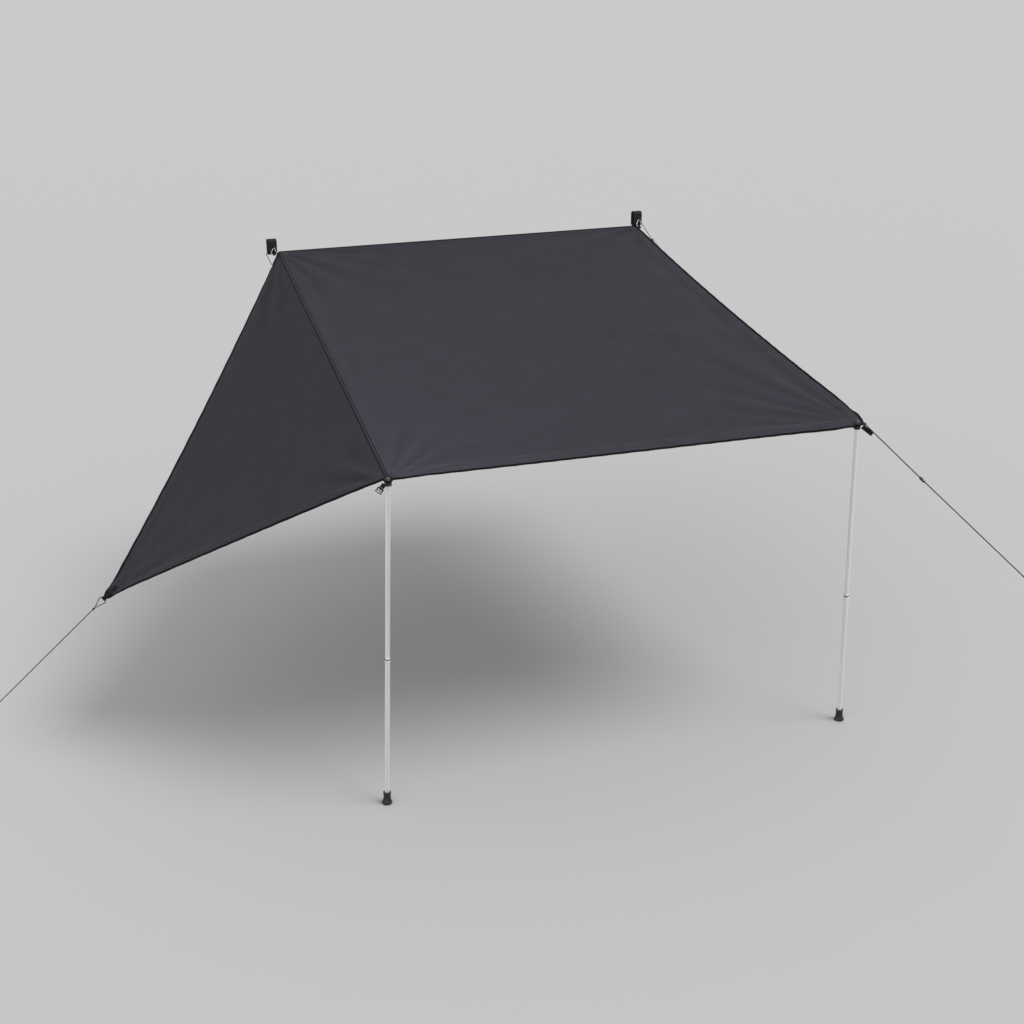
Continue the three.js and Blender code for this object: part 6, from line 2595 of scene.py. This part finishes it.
    def build(self) -> None:
        """Builds the pole."""
        self.tubes()
        self.ends()
        for node in ("snap_button", "button_spring"):
            wardrobe.keep(f"{node}_{self.side.value}", BRIGHT_STEEL)


@dataclass
class Tip:
    """The webbing tab at the wing's tip and the wire delta that swings in it."""

    wing: WingShape = field(default_factory=WingShape)
    tab_length: float = 0.095
    tab_width: float = 0.025
    thickness: float = 0.0022
    twist: float = 54.4
    turn_length: float = 0.012
    ring_wire: float = 0.0044
    ring_base: float = 0.049
    ring_height: float = 0.061
    ring_bend: float = 0.005
    box_stops: tuple[int, int] = (1, 14)

    @property
    def ways(self) -> tuple[Vector, Vector, Vector]:
        """Local directions: from the tip inwards, across the tab, and along the ring's bar.

        Returns:
            The three directions.
        """
        inward = self.wing.inward
        across = Vector((0, 0, 1)).cross(inward).normalized()
        return inward, across, Matrix.Rotation(math.radians(self.twist), 3, inward) @ across

    @property
    def ring_axes(self) -> Axes:
        """The axes of the swinging ring: x along its bar and y out along the guyline.

        Returns:
            The axes.
        """
        inward, _, bar = self.ways
        axes = self.wing.axes
        x, y = axes.way(*bar), axes.way(*(-inward))
        return Axes(axes.at(self.wing.tip_along, self.wing.length), x, y, x.cross(y))

    def build(self) -> None:
        """Builds the tab, its stitches and the ring."""
        inward, across, _ = self.ways
        axes = self.wing.axes
        tip = Vector((self.wing.tip_along, self.wing.length, 0))
        lift = 0.0015 + CLEARANCE + self.thickness / 2
        edge = self.wing.tip_cut * 0.777 + self.turn_length / 4
        near = (self.ring_wire + self.thickness) / 2 + CLEARANCE
        stops = [(between(self.tab_length, edge, share), 0.0) for share in np.linspace(0, 1, 25)]
        stops += [(between(edge, near, share), share) for share in np.linspace(0, 1, 9)[1:]]
        path, ways, ups = [], [], []
        for reach, free in stops:
            turn = math.radians(between(self.wing.pleat, self.twist, free))
            spin = Matrix.Rotation(turn, 3, inward)
            flat = tip + inward * reach
            ground = float(self.wing.relief(np.array([flat.x]), np.array([flat.y]))[0])
            ups.append(spin @ Vector((0, 0, 1)))
            ways.append(spin @ across)
            path.append(flat + Vector((0, 0, ground * (1 - free))) + ups[-1] * (lift * (1 - free)))
        places, across = [axes.at(*point) for point in path], [axes.way(*way) for way in ways]
        band = Band("tip_tab_strap", places, across, self.tab_width, self.thickness, rows=8)
        wardrobe.dress(band.build(), TAIL_STRAP, "wing", "wing_tip_tab")
        ring = self.ring_axes
        turns = [TURN * step / 24 for step in range(24)]
        around = [ring.at(0, near * math.sin(turn), near * math.cos(turn)) for turn in turns]
        eye = Band("tip_tab_eye", around, [ring.x] * 24, self.tab_width, self.thickness * 0.9, True, 8)
        wardrobe.dress(eye.build(), TAIL_STRAP, "wing")
        sewing = Sewing("tip_tab_stitching", Stitch.STRAP)
        half = self.tab_width / 2 - 0.004
        over = self.thickness / 2 + STITCH_LIFT
        first, last = self.box_stops
        box = ((half, first), (-half, first), (-half, last), (half, last))
        corners = [axes.at(*(path[stop] + ways[stop] * side + ups[stop] * over)) for side, stop in box]
        up = axes.way(*ups[0])
        sewing.run([*corners, corners[0], corners[2]], up)
        sewing.run([corners[1], corners[3]], up)
        wardrobe.dress(sewing.build(), STRAP_THREAD, "wing")
        base, height = (self.ring_base - self.ring_wire) / 2, self.ring_height - self.ring_wire / 2
        apex = self.ring_bend / 2
        pointed = apex / math.sin(math.atan2(base, height)) - apex
        corners = [ring.at(-base, 0), ring.at(base, 0), ring.at(0, height + pointed)]
        loop = rounded_loop(corners, [self.ring_bend, self.ring_bend, apex], 10)
        wardrobe.dress(wire("tip_delta", loop, self.ring_wire), DARK_WIRE, "tip_ring", "wing_delta_ring")


@dataclass
class Guylines:
    """The two guylines, their knots, the tensioner and the hooks at their far ends."""

    roof: RoofShape = field(default_factory=RoofShape)
    tip: Tip = field(default_factory=Tip)
    left_diameter: float = 0.005
    right_diameter: float = 0.006
    left_length: float = 0.8
    right_stops: tuple[Three, ...] = (
        (0.024, -0.018, 0.0087), (0.26, -0.216, -0.2472), (0.7036, -0.5882, -0.7196),
    )

    def knot(self, name: str, axes: Axes, cord: float, turns: int, body: str) -> Piece:
        """Builds the wound turns of a knot round a cord.

        Args:
            name: The piece's name.
            axes: Axes whose z follows the cord.
            cord: The cord's diameter.
            turns: How many turns are wound.
            body: The body that it rides on.

        Returns:
            The knot.
        """
        points = []
        reach = cord * 0.86
        for step in range(turns * 20 + 1):
            turn = TURN * step / 20
            points.append(axes.at(reach * math.cos(turn), reach * math.sin(turn), cord * 0.62 * step / 20))
        return wardrobe.dress(wire(name, points, cord * 0.72, closed=False), CORD_BLACK, body)

    def left(self) -> None:
        """Builds the line from the tip ring."""
        ring = self.tip.ring_axes
        start = self.tip.ring_height + CLEARANCE
        path = [ring.at(0, start), ring.at(0, start + self.left_length)]
        line = wardrobe.dress(
            rope("left_guyline", path, self.left_diameter), CORD_BLACK, "tip_ring", "guyline_left",
        )
        wound = Axes(ring.at(0, start + 0.004), ring.z, ring.x, ring.y)
        knot = self.knot("left_guyline_knot", wound, self.left_diameter, 4, "tip_ring")
        wardrobe.keep("guy_hook_left", BRIGHT_STEEL)

    def right(self) -> None:
        """Builds the line from the disc through the tensioner."""
        spigot = self.roof.spigot + Vector((self.roof.front_width, 0, 0))
        turn, middle, out = (spigot + Vector(place) for place in self.right_stops)
        slope = math.atan2(self.roof.rise, self.roof.projection)
        flat = Matrix.Rotation(slope, 3, "X") @ (Vector((0.024, -0.018, 0)).normalized() * 0.014)
        start = spigot + flat + self.roof.axes.z * (0.003 + 0.005 + CLEARANCE + self.right_diameter / 2)
        way = (out - middle).normalized()
        path = [start, turn, middle, out + way * 0.09]
        line = wardrobe.dress(
            rope("right_guyline", path, self.right_diameter), CORD_BLACK, "canopy", "guyline_right",
        )
        wound = upright(turn + (middle - turn).normalized() * 0.006, middle - turn)
        knot = self.knot("right_guyline_knot", wound, self.right_diameter, 3, "canopy")
        wardrobe.keep("guy_hook_right", BRIGHT_STEEL)
        plate = self.tensioner()

    def tensioner(self) -> list[Piece]:
        """Builds the oval tensioner plate and its rivet.

        Returns:
            The plate and the rivet.
        """
        axes = Axes(
            Vector((2.76896797, -3.12249026, -0.77186066)), Vector((0.64276, 0.76607, 0)),
            Vector((0.59359, -0.49805, -0.63213)), Vector((-0.48425, 0.40631, -0.77486)),
        )
        wide, long, thick = 0.011, 0.037, 0.01
        corners = [Vector((x, y, 0)) for x, y in ((-wide, 0), (wide, 0), (wide, long), (-wide, long))]
        outline = rounded_loop(corners, [0.01] * 4, 10)
        made = bmesh.new()
        face = made.faces.new([made.verts.new(point) for point in outline])
        grown = bmesh.ops.extrude_face_region(made, geom=[face])
        top = [item for item in grown["geom"] if isinstance(item, bmesh.types.BMVert)]
        bmesh.ops.translate(made, vec=(0, 0, thick), verts=top)
        bmesh.ops.translate(made, vec=(0, 0, -thick / 2), verts=made.verts[:])
        bmesh.ops.recalc_face_normals(made, faces=made.faces[:])
        rims = [edge for edge in made.edges if abs(edge.verts[0].co.z - edge.verts[1].co.z) < MERGE]
        bmesh.ops.bevel(made, geom=rims, offset=0.0022, segments=4, profile=0.5, affect="EDGES", material=-1)
        bmesh.ops.transform(made, matrix=axes.matrix(), verts=made.verts[:])
        plate = wardrobe.dress(
            from_bmesh("guyline_tensioner", made), BLACK_PLASTIC, "tensioner", "guy_tensioner_right",
        )
        head = Axes(axes.at(0, 0.026, -thick / 2), axes.x, -axes.y, -axes.z)
        dome = [
            (0, 0.0016), (0.0016, 0.0014), (0.0028, 0.0008), (0.0033, 0.0001), (0.0033, -0.0006),
            (0, -0.0006),
        ]
        rivet = wardrobe.dress(turned("tensioner_rivet", dome, head, 32), BRIGHT_STEEL, "tensioner")
        return [plate, rivet]

    def build(self) -> None:
        """Builds both guylines."""
        self.left()
        self.right()


# ---------------------------------------------------------------- camera and studio


@dataclass
class Studio:
    """The camera at the photograph's angle, a plain pale floor and plain soft light."""

    position: Vector = field(default_factory=lambda: Vector((-1.488, -9.252, 2.0665)))
    yaw: float = 18.386
    pitch: float = 22.961
    lens: float = 52.39
    ground: float = -2.3015
    sky: float = 0.56
    seen: float = 0.86
    floor_colour: Three = (0.56, 0.56, 0.565)
    floor_half: float = 90.0
    card_depth: float = 0.7
    cards: tuple[tuple[Side, tuple[float, float]], ...] = (
        (Side.LEFT, (-0.22, -0.975)), (Side.RIGHT, (-0.539, -0.843)),
    )
    lamps: tuple[tuple[str, float, float, Three], ...] = (
        ("key", 1.35, 30, (0.45, -0.35, 1.0)), ("fill", 0.45, 60, (-0.9, -0.8, 0.7)),
    )

    def camera(self) -> None:
        """Makes the camera."""
        data = bpy.data.cameras.new("camera")
        data.lens = self.lens
        data.sensor_width = 36.0
        data.sensor_height = 36.0
        data.clip_end = 400.0
        camera = linked("camera", data)
        camera.location = self.position
        camera.rotation_euler = (math.radians(90 - self.pitch), 0.0, -math.radians(self.yaw))
        bpy.context.scene.camera = camera

    def floor(self) -> None:
        """Makes the pale floor."""
        made = bmesh.new()
        bmesh.ops.create_grid(made, x_segments=2, y_segments=2, size=self.floor_half)
        bmesh.ops.translate(made, vec=(1.0, 0.0, self.ground - 0.0005), verts=made.verts[:])
        floor = from_bmesh("studio_floor", made)
        tree = Tree(bpy.data.materials.new("studio_floor_finish"))
        left, right = (self.card(tree, Pole(side).axes.origin, way) for side, way in self.cards)
        factor = 1.0 - tree.ray("Glossy") * (left.math("MAXIMUM", right) * self.card_depth)
        tree.feed("Base Color", tree.shade(self.floor_colour, factor))
        tree.feed("Roughness", 0.9)
        floor.data.materials.append(tree.owner)

    def card(self, tree: Tree, foot: Vector, way: tuple[float, float]) -> Socket:
        """Returns a narrow dark card on the floor before a pole, which only reflections see.

        Args:
            tree: The floor's node tree.
            foot: The place of the pole's foot.
            way: Plan direction in which the card lies.

        Returns:
            1 on the card and 0 elsewhere.
        """
        off = tree.node("ShaderNodeVectorMath", {"operation": "SUBTRACT"}, {0: tree.place(), 1: tuple(foot)})
        along = tree.node(
            "ShaderNodeVectorMath", {"operation": "DOT_PRODUCT"}, {0: off, 1: (*way, 0.0)}, "Value",
        )
        normal = (-way[1], way[0], 0.0)
        side = tree.node("ShaderNodeVectorMath", {"operation": "DOT_PRODUCT"}, {0: off, 1: normal}, "Value")
        wide = along.math("MAXIMUM", 0.02) * 0.3
        return 1.0 - tree.maths("DIVIDE", side.size(), wide).step(0.35, 1.0)

    def lamp(self, name: str, strength: float, angle: float, away: Sequence[float]) -> None:
        """Makes one soft lamp that shines from a direction.

        Args:
            name: The lamp's name.
            strength: How strong it is.
            angle: How wide it looks, in degrees.
            away: The direction towards it.
        """
        data = bpy.data.lights.new(name, "SUN")
        data.energy = strength
        data.angle = math.radians(angle)
        linked(name, data).rotation_euler = Vector(away).to_track_quat("Z", "Y").to_euler()

    def world(self) -> None:
        """Makes the even surroundings, paler where they are seen."""
        bpy.context.scene.world = bpy.data.worlds.new("studio")
        tree = Tree(bpy.context.scene.world, "Background")
        back = math.radians(self.yaw)
        seen = tree.node("ShaderNodeTexCoord", output="Generated")
        toward = (-math.sin(back), -math.cos(back), 0.0)
        share = tree.node("ShaderNodeVectorMath", {"operation": "DOT_PRODUCT"}, {0: seen, 1: toward}, "Value")
        sides = share.ramp(-0.8, -0.3, 0.42, 1.0) * share.ramp(0.88, 0.97, 1.0, 0.3)
        level = tree.level(tree.ray("Camera"), self.sky, self.seen)
        level = tree.level(tree.ray("Glossy"), level, sides)
        tree.feed("Color", (1.0, 1.0, 1.0, 1.0))
        tree.feed("Strength", tree.level(tree.ray("Transmission"), level, self.seen))

    def build(self) -> None:
        """Builds the camera, the floor and the lights."""
        self.camera()
        self.floor()
        self.world()
        for lamp in self.lamps:
            self.lamp(*lamp)
        bpy.context.scene.view_settings.view_transform = "Standard"


def main() -> None:
    """Builds every sub-assembly in order and reports what was made."""
    logging.basicConfig(level=logging.INFO, format="%(name)s: %(message)s")
    for assembly in (Studio, Guylines, EdgeHook, Roof, Wing, Crease, RackLoops, Corners, Tip):
        assembly().build()
    for side in Side:
        Pole(side).build()


if __name__ == "__main__":
    main()
